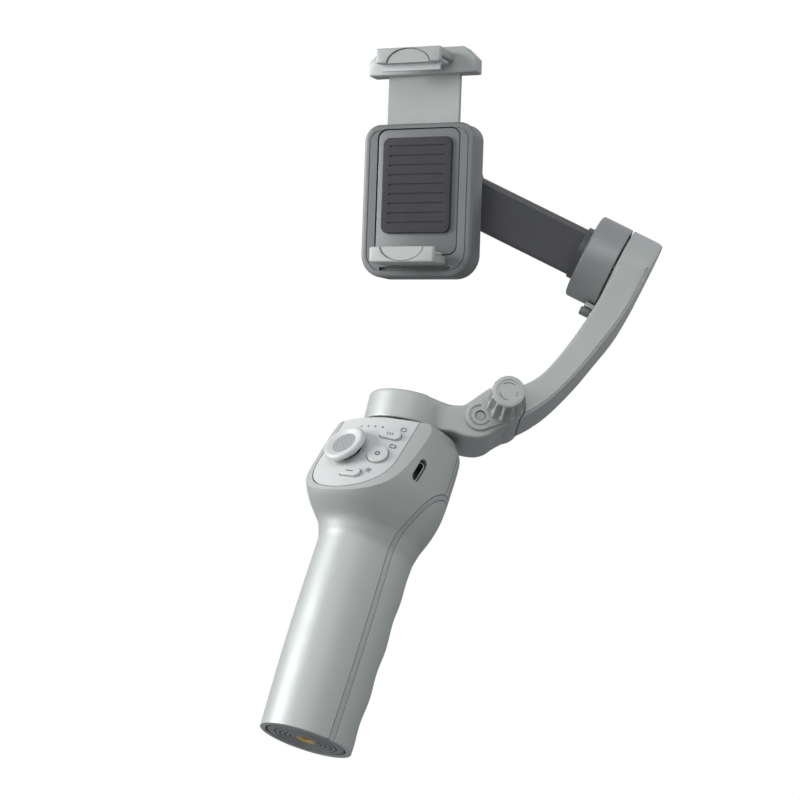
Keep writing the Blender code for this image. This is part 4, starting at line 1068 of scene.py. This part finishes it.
def make_slider():
    """The upper jaw on its flat stem, with ways for the guide rods and for the springs."""
    jaw = jaw_bracket("upper", PHONE_HIGH + 1.6, PHONE_HIGH + 5.4, PHONE_HIGH - 1.0, 13.0)
    head = prism("head", [(-24.0, 42.5), (24.0, 42.5), (24.0, 48.5), (18.6, 53.6), (-18.6, 53.6),
                          (-24.0, 48.5)], 10.0, BODY_BACK - 3.6, "y")
    half, front, back = STEM
    stem = box("stem", (-half, front, -6.0), (half, back, 44.0))
    feet = box("feet", (-21.4, front, -6.0), (21.4, 18.2, 2.0))
    join(jaw, rounded(head, 0.8), stem, feet)
    for side in (-1, 1):
        middle = side * SPRING_X
        cut(jaw, moved(disc("rod_way", 1.5, -20, 20), shift(side * ROD_AT[0], ROD_AT[1], 0)),
            box("spring_way", (middle - 2.5, 12.0, -8.0), (middle + 2.5, 19.0, 12.5)))
    # the upper jaw's darker tone is painted shade
    show(jaw, "upper_jaw_skin", CLAMP, "upper_jaw", SHELL_TRIM_AND_SHADE, "shell", "upper_jaw")
    pad = rounded(jaw_pad("pad", PHONE_HIGH, 1.3, PHONE_HIGH - 3.8), 0.25)
    show(pad, "upper_pad_skin", CLAMP, "upper_jaw", PAD, "rubber", "upper_jaw_pad")


# ---------------------------------------------------------------- light, floor and camera

CAMERA_AT = Vector((0.46533, -0.56475, -0.1531))
CAMERA_TURN = (113.403, -16.863, 32.844)    # degrees about x, then y, then z
CAMERA_AXES = turn("Z", CAMERA_TURN[2]) @ turn("Y", CAMERA_TURN[1]) @ turn("X", CAMERA_TURN[0])
LENS_MM = 85.5
LOOK_AT = Vector((0.03, -0.01, 0.14))
FLOOR_Z = -0.22


def make_camera():
    data = bpy.data.cameras.new("camera")
    data.lens = LENS_MM
    data.sensor_width = 36.0
    obj = bpy.data.objects.new("camera", data)
    bpy.context.scene.collection.objects.link(obj)
    obj.matrix_world = Matrix.Translation(CAMERA_AT) @ CAMERA_AXES
    bpy.context.scene.camera = obj


def panel_light(name, direction, distance, size, power):
    """A soft box that looks at the gimbal's middle."""
    data = bpy.data.lights.new(name, "AREA")
    data.shape = "DISK"
    data.size = size
    data.energy = power
    obj = bpy.data.objects.new(name, data)
    bpy.context.scene.collection.objects.link(obj)
    direction = direction.normalized()
    facing = direction.to_track_quat("Z", "Y").to_matrix().to_4x4()
    obj.matrix_world = Matrix.Translation(LOOK_AT + direction * distance) @ facing


def make_lights():
    """A strong key from the left and soft fill from the front, above and the right."""
    right, up, back = [CAMERA_AXES.col[i].to_3d() for i in range(3)]
    panel_light("key", -1.0 * right + 0.3 * up + 0.1 * back, 0.9, 0.5, 8.0)
    panel_light("front", -0.2 * right + 0.7 * up + 0.9 * back, 1.2, 0.9, 3.8)
    panel_light("front_right", 0.6 * right + 0.6 * up + 0.8 * back, 0.9, 0.6, 1.0)
    panel_light("side", 0.9 * right + 0.3 * up + 0.1 * back, 1.2, 0.9, 1.6)


def make_world():
    """A grey sky that is brighter above lights the gimbal; what is behind it stays white."""
    world = bpy.data.worlds.new("studio")
    bpy.context.scene.world = world
    world.use_nodes = True
    nodes, links = world.node_tree.nodes, world.node_tree.links
    soft = nodes["Background"]
    where = nodes.new("ShaderNodeTexCoord")
    split = nodes.new("ShaderNodeSeparateXYZ")
    links.new(where.outputs["Generated"], split.inputs["Vector"])
    sky = ramp(nodes, links, split.outputs["Z"], (0.1, 0.104, 0.108), (0.6, 0.62, 0.64), 0.0, 0.7)
    links.new(sky, soft.inputs["Color"])
    white = nodes.new("ShaderNodeBackground")
    white.inputs["Color"].default_value = (1.0, 1.0, 1.0, 1.0)
    path = nodes.new("ShaderNodeLightPath")
    mix = nodes.new("ShaderNodeMixShader")
    links.new(path.outputs["Is Camera Ray"], mix.inputs["Fac"])
    links.new(soft.outputs["Background"], mix.inputs[1])
    links.new(white.outputs["Background"], mix.inputs[2])
    links.new(mix.outputs["Shader"], nodes["World Output"].inputs["Surface"])


def make_floor():
    corners = [(-3, -3, FLOOR_Z), (3, -3, FLOOR_Z), (3, 3, FLOOR_Z), (-3, 3, FLOOR_Z)]
    floor = solid("floor", corners, [(0, 1, 2, 3)])
    floor.data.materials.append(surface("pale_floor", (0.35, 0.35, 0.35), 0.7, 0.0, 0.01, 40.0, 0.0))


def make_studio():
    make_camera()
    make_lights()
    make_world()
    make_floor()
    view = bpy.context.scene.view_settings
    view.view_transform = "Standard"
    view.look = "None"


dress_frame()
make_shells()
make_panel()
make_panel_marks()
make_joystick()
make_buttons()
make_base()
make_pan_arm()
make_knob()
make_long_arm()
make_tilt_stop()
make_tilt_can()
make_link()
make_clamp_body()
make_clamp_face()
make_lower_jaw()
make_slider()
make_studio()
